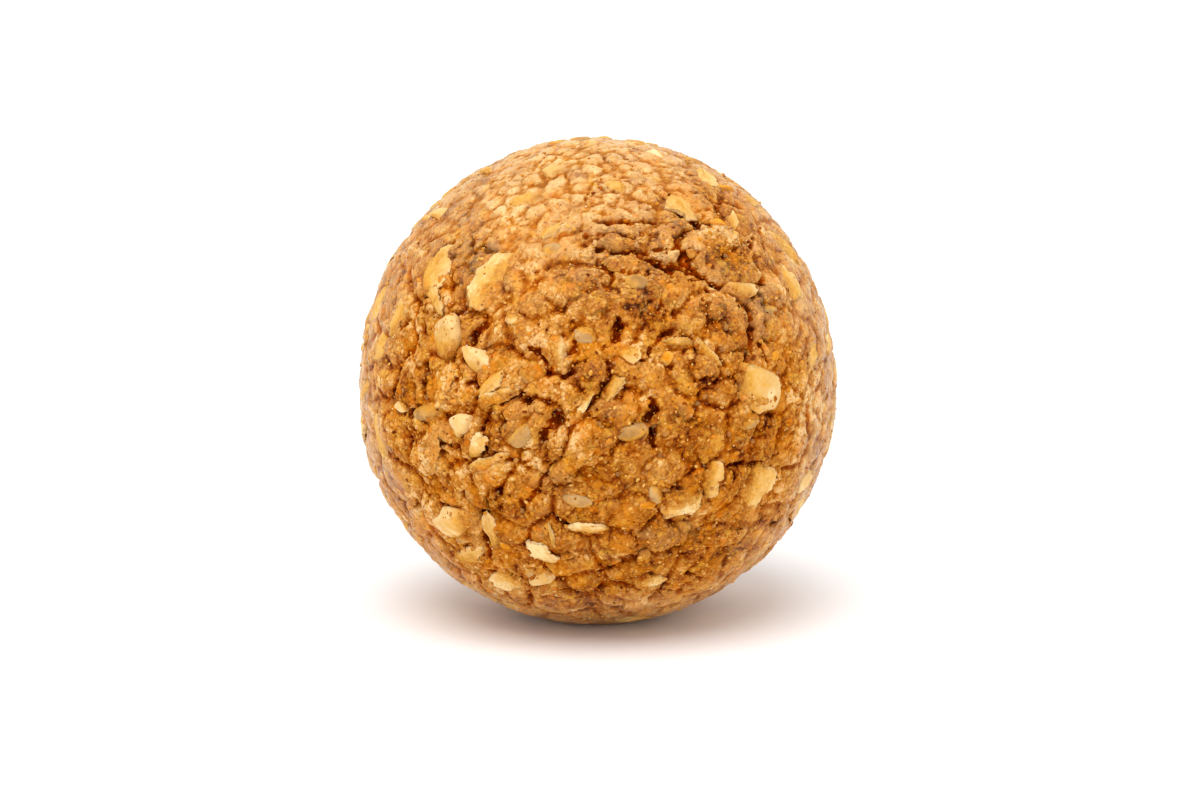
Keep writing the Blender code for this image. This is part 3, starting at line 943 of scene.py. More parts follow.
def dough_ball(laid, finish):
    """The dough: the rough ball, then lumps, wrinkles and grain from a tree."""
    tree = Shape("dough_relief", {**DOUGH_SIZES, "Finish": finish})
    place = tree.here()
    sway = tree.sway(place, 0.0013, 2.5, 0.55)
    bent = tree.shifted(place, sway, 0.0011)

    def packed(kind, lean):
        """Rounded lumps pressed together, each with its own height and lean, with valleys between."""
        size = tree.value(kind + " size")
        edge = tree.cells(bent, size, "DISTANCE_TO_EDGE") * size / tree.value(kind + " shoulder")
        cell = tree.cells(bent, size)
        chance = tree.centred(cell.beside("Color"))
        tilt = tree.dot(tree.vector("SUBTRACT", bent, cell.beside("Position")), chance) * lean
        slope = 1 - edge.least(1.0)
        return (1 - slope * slope) * (tree.value(kind + " height") * (1 + tree.parts(chance)[0]) + tilt)

    names = ("pebbled", "wrinkled", "calm", "loft", "torn", "clump")
    pebbled, wrinkled, calm, loft, torn, clump = (tree.field(name) for name in names)
    rough = tree.fade(tree.cloud(place, 0.0055), 0.28, 0.60)
    ridges = tree.cloud(tree.field("ridge_place", "FLOAT_VECTOR"), 1.0, 1.5, 0.45)
    crests = (1 - tree.maths("ABSOLUTE", ridges * 2 - 1) * 4.0).most(-0.6)
    uneven = (0.45 + 0.55 * rough) * (1 - 0.75 * pebbled) * (1 - 0.75 * tree.field("plain"))
    uneven = uneven * (1 - 0.6 * clump) + torn * 0.8
    relief = packed("Lump", 0.25) * uneven * (1 - 0.5 * wrinkled) + packed("Clod", 0.30) * uneven
    relief = relief + crests * tree.value("Wrinkle height") * wrinkled - tree.value("Usual height")
    # On the crown the dough is pillowed: small rounded tops with soft creases between.
    pillows = packed("Pillow", 0.35) - tree.value("Pillow height") * 0.7
    relief = relief + pillows * (0.15 + 0.85 * pebbled) * (0.6 + 0.6 * rough)
    # Rolling between the hands presses every high place down to one level, the big lumps less so.
    rolled = tree.value("Rolled level") + clump * tree.value("Clump stand")
    pressed = tree.maths("SMOOTH_MIN", loft + relief, rolled, 0.00025)
    fine = packed("Pebble", 0.25) * (0.5 + 0.5 * rough) + packed("Crumb", 0.0)
    fine = fine * (1 - 0.5 * pebbled) * (1 + 0.8 * torn)
    pressed = tree.maths("SMOOTH_MIN", pressed + fine, rolled + tree.value("Top level"), 0.00015)
    relief = (pressed - loft) * (1 - 0.35 * calm) - calm * tree.value("Seat depth")
    relief = relief * tree.field("off_flat") * (1 - 0.5 * tree.field("palmed"))
    height = (loft + relief) * 1000

    def high(rounds):
        """How far a point stands over what surrounds it, in millimetres."""
        values = {"Value": height, "Iterations": rounds}
        return height - tree.add("GeometryNodeBlurAttribute", {"data_type": "FLOAT"}, values)

    geometry = tree.keep(tree.given, "high_fine", high(5))
    geometry = tree.keep(geometry, "high_broad", high(45))
    shift = tree.shifted(tree.scaled(tree.outward(place), relief), sway, 0.00018)
    raised = tree.moved(geometry, tree.vector("ADD", place, shift))
    return tree.build(tree.moved(raised, tree.above_ground(tree.here())), rough_ball(laid))


def skin_levels(ball, laid):
    """How far the dough stands over the plain ball where each piece lies."""
    points = corners(ball) - HEART
    directions = unit(points)
    height = np.linalg.norm(points, axis=1) - egg_radius(directions)
    reach = [np.cos((0.35 * length + 0.0004) / RADIUS) for _, _, length, _ in laid]
    return np.array([np.percentile(height[directions @ row[0] > near], 75) for row, near in zip(laid, reach)])


def piece_places(ball, laid, bare, told, lift, lean):
    """The points and frames that one kind's tree reads: one point for each piece."""
    normals = np.array([row[0] for row in laid])
    long_sides = np.array([row[1] for row in laid])
    sizes = np.array([row[2:4] for row in laid])
    level = skin_levels(ball, laid)
    middles = HEART + normals * (egg_radius(normals) + level)[:, None]
    held = np.maximum(palmed(normals), 0.7 * patch_strength(normals, PEBBLED))
    draw = np.random.default_rng(SEED + 7)
    tipped = draw.normal(0, math.tan(math.radians(lean)), (len(normals), 3))
    up = unit(normals + tipped * (1 - held)[:, None])
    side = unit(np.cross(up, long_sides))
    chance = draw.uniform(0, 1, (len(normals), 3))
    # A row that names a shape gets that shape's two chances, and one that names a way gets the turn to it.
    wanted = np.column_stack(((told[:, 1:] + 1) * SHAPE_STEPS, told[:, 0] / 360)) % 1
    chance[: len(told)] = np.where(np.isnan(wanted), chance[: len(told)], wanted)
    fields = {
        "middle": middles,
        "long": np.cross(side, up),
        "side": side,
        "up": up,
        "half": np.column_stack((sizes / 2, np.zeros(len(sizes)))),
        "lift": lift * sizes[:, 1],
        "level": level,
        "bare": np.array(bare),
        "palmed": held,
        "chance": chance,
    }
    return middles, fields


def strew(kind_ranges, taken, draw):
    """The same mix over the rest of the skin: every kind's laid pieces."""
    found = {kind: [] for kind in kind_ranges}
    order = [kind for kind, row in kind_ranges.items() for _ in range(row[0])]
    draw.shuffle(order)
    spots = strewn_directions(len(order) * 4, -0.93, draw)
    draw.shuffle(spots)
    taken_at = [row[0] for row in taken]
    taken_long = [row[2] for row in taken]
    for kind in order:
        _, low, high, share = kind_ranges[kind]
        length = low + (high - low) * draw.uniform() ** 1.6
        gaps = np.linalg.norm(spots[:, None] - np.array(taken_at)[None], axis=2) * RADIUS
        clear = np.flatnonzero((gaps > 0.50 * (length + np.array(taken_long))).all(1))
        if not len(clear):
            continue
        normal = spots[clear[0]]
        spots = np.delete(spots, clear[0], axis=0)
        long_side = unit(np.cross(normal, draw.normal(size=3)))
        found[kind].append((normal, long_side, length, length * share * draw.uniform(0.8, 1.2)))
        taken_at.append(normal)
        taken_long.append(length)
    return found


def pressed_in(name, places, blank_sides, sizes, form, finish):
    """One kind of piece: a blank for each point, formed by the kind's own rule and pressed into the skin."""
    middles, fields = places
    tree = Shape(name, {**sizes, "Bend radius": RADIUS, "Finish": finish})
    sides = dict(zip(("Vertices X", "Vertices Y", "Vertices Z"), blank_sides))
    blank = tree.add("GeometryNodeMeshCube", {}, {"Size": (2, 2, 2), **sides})
    blank = tree.keep(blank, "own", tree.here(), "FLOAT_VECTOR")
    values = {"Points": tree.given, "Instance": blank, "Scale": (MM, MM, MM)}
    real = tree.real(tree.add("GeometryNodeInstanceOnPoints", {}, values))
    half = tree.parts(tree.arrow("half"))
    shape = tree.vector("MULTIPLY", tree.arrow("chance"), (1.0, 1.0, 0.0))
    along, across, above = form(tree, tree.arrow("own"), shape, half)
    # One side of a piece stands out of the dough, and the other dips under it.
    turn = tree.parts(tree.arrow("chance"))[2] * math.tau
    proud = (along * tree.maths("COSINE", turn) + across * tree.maths("SINE", turn)) * 0.5 + 0.5
    proud = tree.fade(proud, 0.0, 1.0)
    reach = tree.maths("SQRT", along * along + across * across)
    free = 1 - tree.field("palmed")
    droop = reach.least(1.05) ** 3 * (1 - proud * free) * tree.value("Droop")
    above = above + (proud - 0.5) * tree.value("Tip") * free - droop
    real = tree.keep(real, "proud", proud)
    above = above - (1 - proud) * (1 - proud) * half[1] * tree.value("Sink") * free
    # Rolling holds its top near the dough's level, and it bends with the ball.
    along = along * half[0]
    across = across * half[1]
    level = tree.field("level")
    top = tree.value("Rolled level") * (0.1 + 0.9 * free)
    above = tree.maths("SMOOTH_MIN", above + tree.field("lift") + level, top, 0.0002) - level
    above = above - (along * along + across * across) / (2 * tree.value("Bend radius"))
    world = tree.arrow("middle")
    for label, reach in (("long", along), ("side", across), ("up", above)):
        world = tree.shifted(world, tree.arrow(label), reach)
    return tree.build(tree.moved(real, tree.above_ground(world)), points_object(name, middles, fields))


def chance_face(tree, chance, k, flatten, base):
    """The direction that each piece draws for its break number k, flattened and leaning to a base."""
    spin = tree.vector("ADD", chance, (3.7 * k, 1.3 * k, 0.0))
    face = tree.centred(tree.add("ShaderNodeTexWhiteNoise", {"noise_dimensions": "3D"}, {"Vector": spin}, 1))
    return tree.vector("NORMALIZE", tree.vector("ADD", tree.vector("MULTIPLY", face, flatten), base))


def broken_off(tree, lump, face, reach):
    """What lies beyond a flat break is pushed back onto it."""
    over = (tree.dot(lump, face) - reach).most(0.0)
    return tree.vector("SUBTRACT", lump, tree.scaled(face, over * 0.95))


def flake_form(tree, own, chance, half):
    """A rolled oat: a thin blade broken off at a few sides, a little cupped, with fine lines along it."""
    u, v, w = tree.parts(own)
    along = u * tree.maths("SQRT", 1 - v * v * 0.34)
    across = v * tree.maths("SQRT", 1 - u * u * 0.40)
    blade = tree.whole(along, across)
    for k, reach in enumerate((0.72, 0.80)):
        blade = broken_off(tree, blade, chance_face(tree, chance, k, (1.0, 1.0, 0.0), (0.0, 0.0, 0.0)), reach)
    along, across, _ = tree.parts(blade)
    seeded = tree.shifted(tree.whole(along * 1.5, across), chance, 60.0)
    bow = tree.parts(tree.sway(seeded, 1.1))
    nick = tree.parts(tree.sway(seeded, 0.22, 2.0, 0.6))
    rim = tree.maths("ABSOLUTE", u).most(tree.maths("ABSOLUTE", v))
    lines = tree.cloud(tree.shifted(tree.whole(along * 0.8, across * 5.0), chance, 90.0), 0.8)
    thick = tree.value("Half thickness") * (1 - 0.45 * rim**6)
    cup = (tree.parts(chance)[0] - 0.4) * across * across * tree.value("Cup")
    wave = bow[2] * tree.value("Wave")
    above = wave + cup + w * thick + (lines + nick[2] * 1.5) * tree.value("Line height")
    along = along * 1.06 + bow[0] * 0.7 + nick[0] * 0.45 * rim
    across = across * 1.12 + bow[1] * 0.9 + nick[1] * 0.9 * rim
    return along, across, above


def broken_form(tree, own, chance, half):
    """A chopped nut or bit: a rounded lump cut by a few flat breaks, one of them facing out."""
    ball = tree.vector("NORMALIZE", own)
    seeded = tree.shifted(ball, chance, 60.0)
    lump = tree.shifted(ball, tree.sway(seeded, 1.3), 0.7)
    lump = broken_off(tree, lump, chance_face(tree, chance, 0, (1.0, 1.0, 0.4), (0.0, 0.0, 0.8)), 0.40)
    for k, reach in enumerate((0.38, 0.48, 0.58, 0.62, 0.62)):
        face = chance_face(tree, chance, k + 1, (1.0, 1.0, 0.8), (0.0, 0.0, 0.05))
        lump = broken_off(tree, lump, face, reach)
    along, across, above = tree.parts(tree.shifted(lump, tree.sway(seeded, 0.35, 2.0), 0.09))
    return along * 1.30, across * 1.30, above * half[1] * tree.value("Fullness")


def grain_form(tree, own, chance, half):
    """A crisp grain: smooth and rounded, a little dented."""
    ball = tree.vector("NORMALIZE", own)
    dent = tree.cloud(tree.shifted(ball, chance, 60.0), 1.2, 1.5) - 0.5
    along, across, above = tree.parts(tree.scaled(ball, 1 + dent * 0.55))
    return along, across, above * half[1] * tree.value("Fullness")


def how_crumbly(tree):
    """Crumbs lie thick in front, thin where the palms pressed, and on pieces' rims but not under them."""
    normal = tree.add("GeometryNodeInputNormal", {}, {})
    place = tree.here()
    facing = tree.dot(normal, tuple(EYE_BACK))
    rising = tree.dot(normal, tree.outward(place))
    own = tree.parts(tree.vector("ABSOLUTE", tree.arrow("own")))
    rim = own[0].most(own[1])
    on_piece = (tree.parts(tree.arrow("half"))[0] * 1e6).held()
    piece_share = (0.04 + 0.96 * rim**4) * tree.fade(rising, 0.3, 0.6) * (1 - 0.6 * tree.field("bare"))
    share = on_piece * piece_share + (1 - on_piece) * (1 - tree.field("calm")) * (1 + tree.field("torn"))
    soft_parts = (1 - 0.6 * tree.field("palmed")) * (1 - 0.5 * tree.field("pebbled"))
    clear_of_ground = tree.fade(tree.parts(place)[2], 0.0004, 0.0014)
    return share * soft_parts * clear_of_ground * (0.30 + 0.70 * tree.fade(facing, -0.1, 0.35))


def sprinkled(name, ball, pieces, finish):
    """Tiny loose pieces over the dough: random points a set distance apart, each with a small lump on it."""
    tree = Shape(name, {**dict(zip(LOOSE_INPUTS, LOOSE[name])), "Finish": finish})
    under = [tree.add("GeometryNodeObjectInfo", {}, {"Object": piece}, "Geometry") for piece in pieces]
    values = {
        "Mesh": tree.joined([tree.given, *under]),
        "Distance Min": tree.value("Spacing"),
        "Density Max": tree.value("Density"),
        "Density Factor": how_crumbly(tree),
        "Seed": tree.value("Seed"),
    }
    points = tree.add("GeometryNodeDistributePointsOnFaces", {"distribute_method": "POISSON"}, values)
    facing = points.beside("Rotation")
    chance = tree.add("FunctionNodeRandomValue", {"data_type": "FLOAT_VECTOR"}, {"Seed": tree.value("Seed")})
    points = tree.keep(points, "chance", chance, "FLOAT_VECTOR")
    rank, stretch, spin = tree.parts(tree.arrow("chance"))
    size = tree.value("Least") + (tree.value("Most") - tree.value("Least")) * rank**4
    size = size * (1 - 0.4 * tree.field("palmed")) * (1 + 0.5 * tree.field("torn"))
    scale = tree.whole(size * (0.8 + 0.9 * stretch), size, size * tree.value("Flatness"))
    turn = tree.whole((spin - 0.5) * 1.2, (stretch - 0.5) * 1.2, spin * math.tau)
    turn = tree.add("FunctionNodeEulerToRotation", {}, {0: turn})
    turn = tree.add("FunctionNodeRotateRotation", {"rotation_space": "LOCAL"}, {0: facing, 1: turn})
    lump = tree.add("GeometryNodeMeshIcoSphere", {}, {"Radius": 0.5, "Subdivisions": 1})
    lump = tree.nudged(lump, (0.0, 0.0, -0.15))
    values = {"Points": points, "Instance": lump, "Rotation": turn, "Scale": scale}
    made = tree.real(tree.add("GeometryNodeInstanceOnPoints", {}, values))
    dent = tree.scaled(tree.sway(tree.here(), 0.00020), tree.value("Least") * 1.1)
    return tree.build(tree.nudged(made, dent), shown_object(name, ball.data.copy()))


def shaded(name, look, **constants):
    """A finish whose varying sockets come from a look, and whose other sockets are plain numbers."""
    material = bpy.data.materials.new(name)
    material.use_nodes = True
    bench = Bench(material.node_tree)
    shader = material.node_tree.nodes["Principled BSDF"]
    for socket, value in constants.items():
        shader.inputs[socket.replace("_", " ")].default_value = value
    place = bench.add("ShaderNodeTexCoord", {}, {}, "Object")
    for socket, wire in look(bench, place).items():
        bench.tree.links.new(wire.socket, shader.inputs[socket])
    return material


def named(bench, name, output="Fac"):
    """A number or vector that is stored on the piece's points."""
    return bench.add("ShaderNodeAttribute", {"attribute_name": name}, {}, output)


def drawn(bench):
    """The three numbers that each piece or crumb drew."""
    return bench.parts(named(bench, "chance", "Vector"))


def bumped(bench, height, depth):
    """A normal from a height of 0 to 1 that stands for this depth in metres."""
    return bench.add("ShaderNodeBump", {}, {"Strength": 1.0, "Distance": depth, "Height": height})


def dough_tone(bench, place, bent, marks, folds):
    """How pale the dough is, from 0 to 1, painted darker in creases, folds and hollows and paler on high
    places, and its height, from its grain, crumbs and fine creases.
    """
    grain = bench.cloud(place, GRAIN_SIZE, 3.0, 0.65)
    crumb = bench.cells(bent, CRUMB_SIZE)
    crumb_shade = bench.parts(crumb.beside("Color"))[0]
    creased = 0.4 + 0.6 * bench.fade(bench.cloud(place, 0.0030, 1.0), 0.35, 0.60)
    crumb_crease = bench.fade(bench.cells(bent, CRUMB_SIZE, "DISTANCE_TO_EDGE"), 0.20, 0.0) * creased
    clod_crease = bench.fade(bench.cells(bent, CLOD_SIZE, "DISTANCE_TO_EDGE"), 0.15, 0.0) * creased
    chip = bench.parts(bench.cells(place, CHIP_SIZE).beside("Color"))[0]
    # Painted shade: darker in the wrinkles' folds, most on the clumps.
    tone = USUAL_TONE + marks["shade"] - folds * (0.30 + 0.25 * marks["clump"])
    for name, change in TONE_CHANGES.items():
        tone = tone + marks[name] * change
    tone = tone + (bench.cloud(place, 0.0050) - 0.5) * (1.1 - 0.4 * marks["plain"])
    tone = tone + (bench.cloud(place, 0.0021, 2.5, 0.55) - 0.5) * (1.4 - 0.6 * marks["plain"])
    tone = tone + (chip - 0.5) * 0.26 + (grain - 0.5) * 0.45 + (crumb_shade - 0.5) * 0.24
    # Painted shade: each crumb paler at its middle and darker at its edges, and darker in the creases between
    # crumbs and clods.
    tone = tone + (0.42 - crumb) * 0.22 + (0.22 - crumb_crease) * 0.10 + (0.14 - clod_crease) * 0.20
    # Painted light and shade: paler where the dough stands over what surrounds it, darker where it lies
    # below.
    tone = tone + marks["high_fine"].least(0.06) * 1.7 + marks["high_broad"].least(0.10) * 0.6
    height = grain * 0.5 + (1 - crumb) * 0.5 + (1 - crumb_crease) * 0.15 + (1 - clod_crease) * 0.4
    return tone.held(), (height - folds * 0.8) * (1 - marks["pebbled"] * 0.4)


def stained(bench, place, bent, colour):
    """The dough's colour with its stains and specks."""
    for shift, size, low, strength, stain in DOUGH_PATCHES:
        patch = bench.cloud(bench.vector("ADD", place, (shift, 0.5 * shift, 0.0)), size, 3.0, 0.6)
        colour = bench.tint(bench.fade(patch, low, low + 0.14) * strength, colour, stain)
    for size, reach, share, strength, stain in DOUGH_SPECKS:
        speck = bench.cells(bent, size)
        chosen = bench.fade(bench.parts(speck.beside("Color"))[1], share + 0.06, share)
        colour = bench.tint(bench.fade(speck, reach, reach * 0.5) * chosen * strength, colour, stain)
    return colour


def dough_parts(bench, place):
    """The dough's colour with its painted light and shade, its oily gloss and grain, wherever it shows."""
    marks = {name: named(bench, name) for name in DOUGH_MARKS}
    high_fine = marks["high_fine"]
    high_broad = marks["high_broad"]
    bent = bench.shifted(place, bench.sway(place, 0.00040), 0.00035)
    # Fine folds where the dough is wrinkled, which the tone paints darker as shade.
    folds = bench.cloud(bench.vector("MULTIPLY", bent, (1.0, 1.0, 2.2)), FOLD_SIZE)
    folds = bench.fade(bench.maths("ABSOLUTE", folds * 2 - 1), 0.16, 0.0) * marks["wrinkled"]
    tone, height = dough_tone(bench, place, bent, marks, folds)
    colour = stained(bench, place, bent, bench.ramp(tone, DOUGH_TONES))
    # A paler film over pebbled patches, most on their high places, round the palms' ring and on torn clump
    # rims: partly a smear of meal, partly painted light on the crown's high places and painted rim light
    # round the outline the camera sees.
    streak = bench.cloud(bench.vector("MULTIPLY", place, (1.0, 1.0, 0.35)), 0.0012, 3.0, 0.6)
    film_and_light = marks["palmed"] * 0.34 + marks["pebbled"] * (0.28 + 0.32 * bench.fade(high_broad, -0.12, 0.12))
    film_and_light = film_and_light.held() * bench.fade(streak, 0.20, 0.58) * (1 - 0.9 * marks["clump"])
    colour = bench.tint((film_and_light + marks["torn"] * 0.30).held(), colour, FILM_AND_LIGHT_COLOUR)
    # Painted shade deepens the colour in the low places, and most of all in the valleys and cracks; part of
    # it stands for oil gathered there.
    low = bench.fade(high_fine * -2.0 + high_broad * -1.5, -0.10, 0.30)
    colour = bench.tint(low, colour, LOW_OIL_AND_SHADE, "MULTIPLY")
    valley_shading = (high_fine * -3.2 + high_broad * -1.4 + marks["cut"] * 0.6).held()
    colour = bench.tint(valley_shading, colour, VALLEY_OIL_AND_SHADE, "MULTIPLY")
    oily = bench.fade(bench.cloud(place, 0.0018), 0.35, 0.65)
    gloss = (0.30 * oily + high_fine * 0.5 + marks["palmed"] * 1.8).held()
    return colour, gloss * (1 - valley_shading) * (1 - 0.7 * marks["clump"]), height


def dough_look(bench, place):
    """The dough itself."""
    colour, gloss, height = dough_parts(bench, place)
    return {"Base Color": colour, "Coat Weight": gloss, "Normal": bumped(bench, height, 0.00016)}


def coated(own_parts, flour=1.0):
    """The look of a piece whose own surface shows where the dough has rubbed off it."""

    def look(bench, place):
        dough_colour, dough_gloss, dough_height = dough_parts(bench, place)
        colour, gloss, height = own_parts(bench, place)
        own = bench.parts(bench.vector("ABSOLUTE", named(bench, "own", "Vector")))
        rim = own[0].most(own[1])
        proud = named(bench, "proud")
        shown = named(bench, "bare")
        hidden = (0.25 - shown).most(0.0)
        bare = shown * 0.42 + (proud - 0.5) * (0.60 - 0.15 * shown - hidden) - hidden * 1.3
        mottled = (bench.cloud(place, 0.00095, 4.0, 0.75) - 0.5) * (1 - 0.35 * shown) + 0.5
        coat = ((mottled + rim**2 * (1 - proud) * 0.2 - bare - 0.24) * 3.0).held()
        # The rim of the raised side is painted pale: partly flour on a broken rim, partly painted highlight.
        # Where the dough's oil has soaked in, the piece is golden.
        soaked = coat + (1 - proud) * 0.7 + (bench.cloud(place, 0.0008, 3.0, 0.6) - 0.5) * 1.6 - shown * 0.1
        soaked = soaked - (shown - 1).most(0.0) * 1.6
        colour = bench.tint(bench.fade(soaked, 0.0, 0.8) * 0.85, colour, SOAKED_COLOUR)
        dusty = bench.fade(bench.cloud(place, 0.00026, 2.0, 0.6), 0.56, 0.70)
        floury = (rim**5 * proud * 0.45 + dusty * 0.30).held()
        colour = bench.tint(floury * (1 - coat) * flour, colour, FLOUR_AND_HIGHLIGHT_COLOUR)
        colour = bench.tint(coat, colour, dough_colour)
        gloss = gloss + (dough_gloss - gloss) * coat
        height = height * (1 - coat) + (dough_height + 0.4) * coat
        return {"Base Color": colour, "Coat Weight": gloss, "Normal": bumped(bench, height, 0.00012)}

    return look


def oat_parts(bench, place):
    """Bare oat: cream, with finer and darker lines along it and a floury grain."""
    along, across, _ = bench.parts(named(bench, "own", "Vector"))
    chance = named(bench, "chance", "Vector")
    strands = bench.shifted(bench.whole(along * 0.8, across * 6.0), chance, 40.0)
    lines = bench.cloud(strands, 0.9)
    floury = bench.cloud(place, 0.00025, 2.0, 0.6)
    toast = bench.cloud(place, 0.0014)
    shade = (lines - 0.5) * 0.5 + (floury - 0.5) * 0.6 + (toast - 0.5) * 1.2
    shade = shade + bench.parts(chance)[0] * 0.5 + 0.25
    stops = [(0.0, (0.58, 0.26, 0.035)), (0.5, (0.75, 0.42, 0.11)), (1.0, (0.91, 0.68, 0.33))]
    return bench.ramp(shade.held(), stops), 0.1 + 0.2 * lines, lines * 0.8 + floury * 0.4


def nut_parts(bench, place):
    """Bare nut: pale tan, smooth, a little toasted in places."""
    toast = bench.cloud(place, 0.0011)
    fine = bench.cloud(place, 0.00022, 2.0, 0.6)
    shade = (toast - 0.5) * 1.1 + (fine - 0.5) * 0.3 + drawn(bench)[0] * 0.5 + 0.25
    stops = [(0.0, (0.58, 0.29, 0.06)), (0.5, (0.74, 0.44, 0.14)), (1.0, (0.91, 0.69, 0.38))]
    return bench.ramp(shade.held(), stops), 0.25 + 0.4 * (fine - 0.5), fine * 0.35 + toast * 0.3


def grain_parts(bench, place):
    """Bare grain: greyish, glassy inside, with a satin skin."""
    milk = bench.cloud(place, 0.0008)
    fine = bench.cloud(place, 0.00020, 1.0)
    shade = (milk - 0.5) * 0.9 + drawn(bench)[1] * 0.6 + 0.2
    stops = [(0.0, (0.34, 0.16, 0.035)), (0.5, (0.46, 0.25, 0.085)), (1.0, (0.60, 0.38, 0.17))]
    return bench.ramp(shade.held(), stops), 0.45 + 0.3 * (milk - 0.5), milk * 0.25 + fine * 0.15


def amber_parts(bench, place):
    """Bare zest: orange-yellow and a little glassy."""
    gold = bench.cloud(place, 0.0006)
    stops = [(0.2, (0.52, 0.15, 0.004)), (0.5, (0.72, 0.27, 0.010)), (0.8, (0.86, 0.42, 0.035))]
    return bench.ramp(gold, stops), 0.4 * gold, gold * 0.5


def crumb_look(bench, place):
    """A loose crumb is dough that is a shade paler or darker than what it lies on."""
    colour, gloss, height = dough_parts(bench, place)
    _, paler, redder = drawn(bench)
    colour = bench.tint(bench.fade(paler, 0.55, 0.75) * 0.25, colour, (0.82, 0.50, 0.17))
    colour = bench.tint(bench.fade(redder, 0.80, 0.90) * 0.7, colour, (0.70, 0.24, 0.012))
    return {"Base Color": colour, "Coat Weight": gloss, "Normal": bumped(bench, height, 0.00003)}


def meal_look(bench, place):
    """Ground nut and oat: grains from golden brown to cream, each its own shade."""
    _, shade, gloss = drawn(bench)
    stops = [(0.0, (0.46, 0.14, 0.008)), (0.55, (0.62, 0.24, 0.020)), (1.0, (0.78, 0.42, 0.10))]
    shade = (shade + (bench.cloud(place, 0.00020, 1.0) - 0.5) * 0.4).held()
    return {"Base Color": bench.ramp(shade, stops), "Coat Weight": 0.5 * gloss}


def speck_look(bench, place):
    """Bran and nut skin: dark red-brown, some nearly black."""
    stops = [(0.0, (0.105, 0.015, 0.002)), (0.6, (0.24, 0.042, 0.004)), (1.0, (0.44, 0.100, 0.008))]
    shade = (drawn(bench)[1] + (bench.cloud(place, 0.00015, 1.0) - 0.5) * 0.4).held()
    return {"Base Color": bench.ramp(shade, stops)}


def glint_look(bench, place):
    """Sugar and salt: near-white crystals that catch the light, their pale colour partly a painted glint in
    small bright dots.
    """
    _, shade, dull = drawn(bench)
    stops = [(0.0, (0.85, 0.60, 0.28)), (1.0, (0.96, 0.86, 0.66))]
    return {"Base Color": bench.ramp(shade, stops), "Roughness": 0.12 + 0.2 * dull}


def floor_look(bench, place):
    """White paper, very faintly mottled."""
    mottle = bench.cloud(place, 0.30, 1.0)
    return {"Base Color": bench.ramp(mottle, [(0.3, (0.95, 0.95, 0.95)), (0.7, (0.97, 0.97, 0.97))])}


def make_floor():
    bpy.ops.mesh.primitive_plane_add(size=8.0, location=(0, 0, 0))
    floor = bpy.context.object
    floor.name = "floor"
    floor.data.materials.append(shaded("pale_floor", floor_look, Roughness=0.9, Specular_IOR_Level=0.0))


def make_light():
    """A white tent: soft light from all round, more of it from above and in front on the left."""
    world = bpy.data.worlds.new("tent")
    world.use_nodes = True
    tent = world.node_tree.nodes["Background"].inputs
    tent["Color"].default_value = (1, 1, 1, 1)
    tent["Strength"].default_value = TENT_STRENGTH
    bpy.context.scene.world = world
    sun = bpy.data.lights.new("key", "SUN")
    sun.energy = KEY_STRENGTH
    sun.angle = math.radians(KEY_SPREAD)
    lamp = shown_object("key", sun)
    lamp.rotation_mode = "QUATERNION"
    lamp.rotation_quaternion = Vector(KEY_FROM).to_track_quat("Z", "Y")


def make_camera():
    camera = bpy.data.cameras.new("camera")
    camera.lens = LENS
    camera.sensor_width = 36
    camera.clip_start = 0.01
    stand = shown_object("camera", camera)
    stand.location = Vector(HEART) + Vector(EYE_BACK) * EYE_DISTANCE
    aim = Vector(HEART) + Vector(EYE_RIGHT) * AIM_RIGHT - Vector(EYE_UP) * AIM_DOWN
    stand.rotation_mode = "QUATERNION"
    stand.rotation_quaternion = (stand.location - aim).to_track_quat("Z", "Y")
    bpy.context.scene.camera = stand


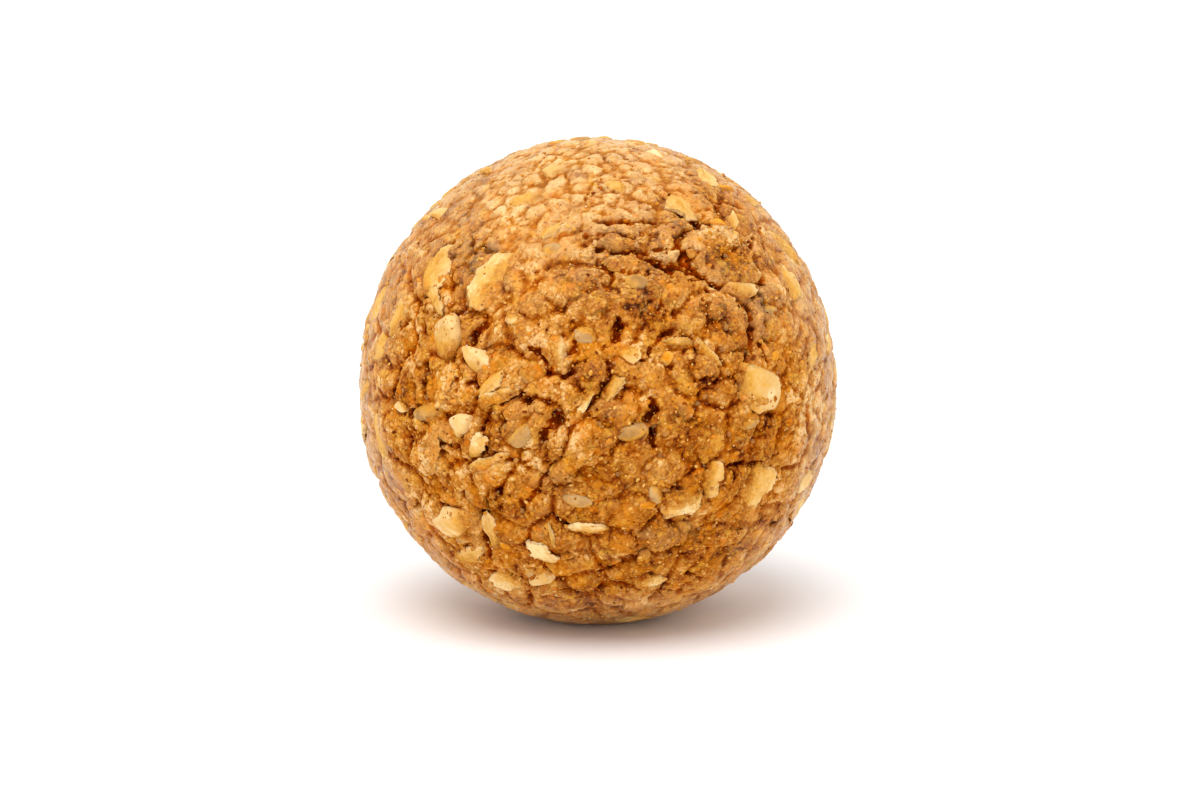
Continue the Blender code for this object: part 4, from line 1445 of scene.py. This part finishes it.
def lay_out():
    """Every piece by kind, the placed ones first, how bare each is, and what the placed rows say besides."""
    draw = np.random.default_rng(SEED)
    laid = {kind: list(zip(*lay(rows))) for kind, rows in PLACED.items()}
    bare = {kind: [row[5] for row in rows] for kind, rows in PLACED.items()}
    told = {}
    for kind, rows in PLACED.items():
        padded = np.array([row + (math.nan,) * (8 - len(row)) for row in rows])
        told[kind] = np.column_stack((padded[:, 6] - padded[:, 4], padded[:, 7]))
    taken = [piece for pieces in laid.values() for piece in pieces]
    for kind, pieces in strew(STREWN, taken, draw).items():
        # In front, the pieces that show bare are the placed ones.
        front = np.array([row[0] @ EYE_BACK > 0.30 for row in pieces])
        kept = ~front | (draw.uniform(size=len(pieces)) < FRONT_SHARE)
        shown = draw.uniform(0.1, 1.0, len(pieces)) * np.where(front, FRONT_BARE, BACK_BARE)
        laid[kind] += [piece for piece, keep in zip(pieces, kept) if keep]
        bare[kind] += list(shown[kept])
    return laid, bare, told


def main():
    laid, bare, told = lay_out()
    everything = [piece for pieces in laid.values() for piece in pieces]
    ball = dough_ball(everything, shaded("nut_dough", dough_look, **SOFT))

    def pressed(kind, name, form, blank_sides, lift, lean, finish):
        """One kind's pieces. Their middles stand lift times their width over the dough."""
        places = piece_places(ball, laid[kind], bare[kind], told[kind], lift, lean)
        return pressed_in(name, places, blank_sides, PIECE_SIZES[kind], form, finish)

    oat = shaded("oat_flake", coated(oat_parts), **FIRM)
    nut = shaded("chopped_nut", coated(nut_parts, 0.6), **FIRM)
    grain = shaded("crisp_grain", coated(grain_parts, 0.15), **GLASSY)
    amber = shaded("amber_bit", coated(amber_parts, 0.2), **FIRM)
    flakes = pressed("oat", "oat_flakes", flake_form, (22, 14, 2), 0.0, 4, oat)
    nuts = pressed("nut", "nut_pieces", broken_form, (12, 12, 12), -0.08, 9, nut)
    grains = pressed("grain", "crisp_grains", grain_form, (9, 9, 9), -0.20, 6, grain)
    bits = pressed("bit", "amber_bits", broken_form, (7, 7, 7), -0.08, 9, amber)

    lain_on = (flakes, nuts, grains)
    crumbs = sprinkled("crumbs", ball, lain_on, shaded("loose_crumb", crumb_look, **CRUMBLY))
    meal = sprinkled("nut_meal", ball, lain_on, shaded("nut_meal", meal_look, **CRUMBLY))
    specks = sprinkled("bran_specks", ball, lain_on, shaded("bran_speck", speck_look, Specular_IOR_Level=0.0))
    glints = sprinkled("glints", ball, lain_on, shaded("glint_crystal", glint_look))
    slots = {
        ball: "nut_dough",
        flakes: "oat_flake",
        nuts: "chopped_nut",
        grains: "crisp_grain",
        bits: "chopped_nut",
        crumbs: "nut_dough",
        meal: "chopped_nut",
        specks: "bran_speck",
        glints: "chopped_nut",
    }
    for piece, slot in slots.items():
        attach(piece, "root")
    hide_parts("energy_ball")

    make_floor()
    make_light()
    make_camera()
    bpy.context.scene.view_settings.view_transform = "Standard"


main()
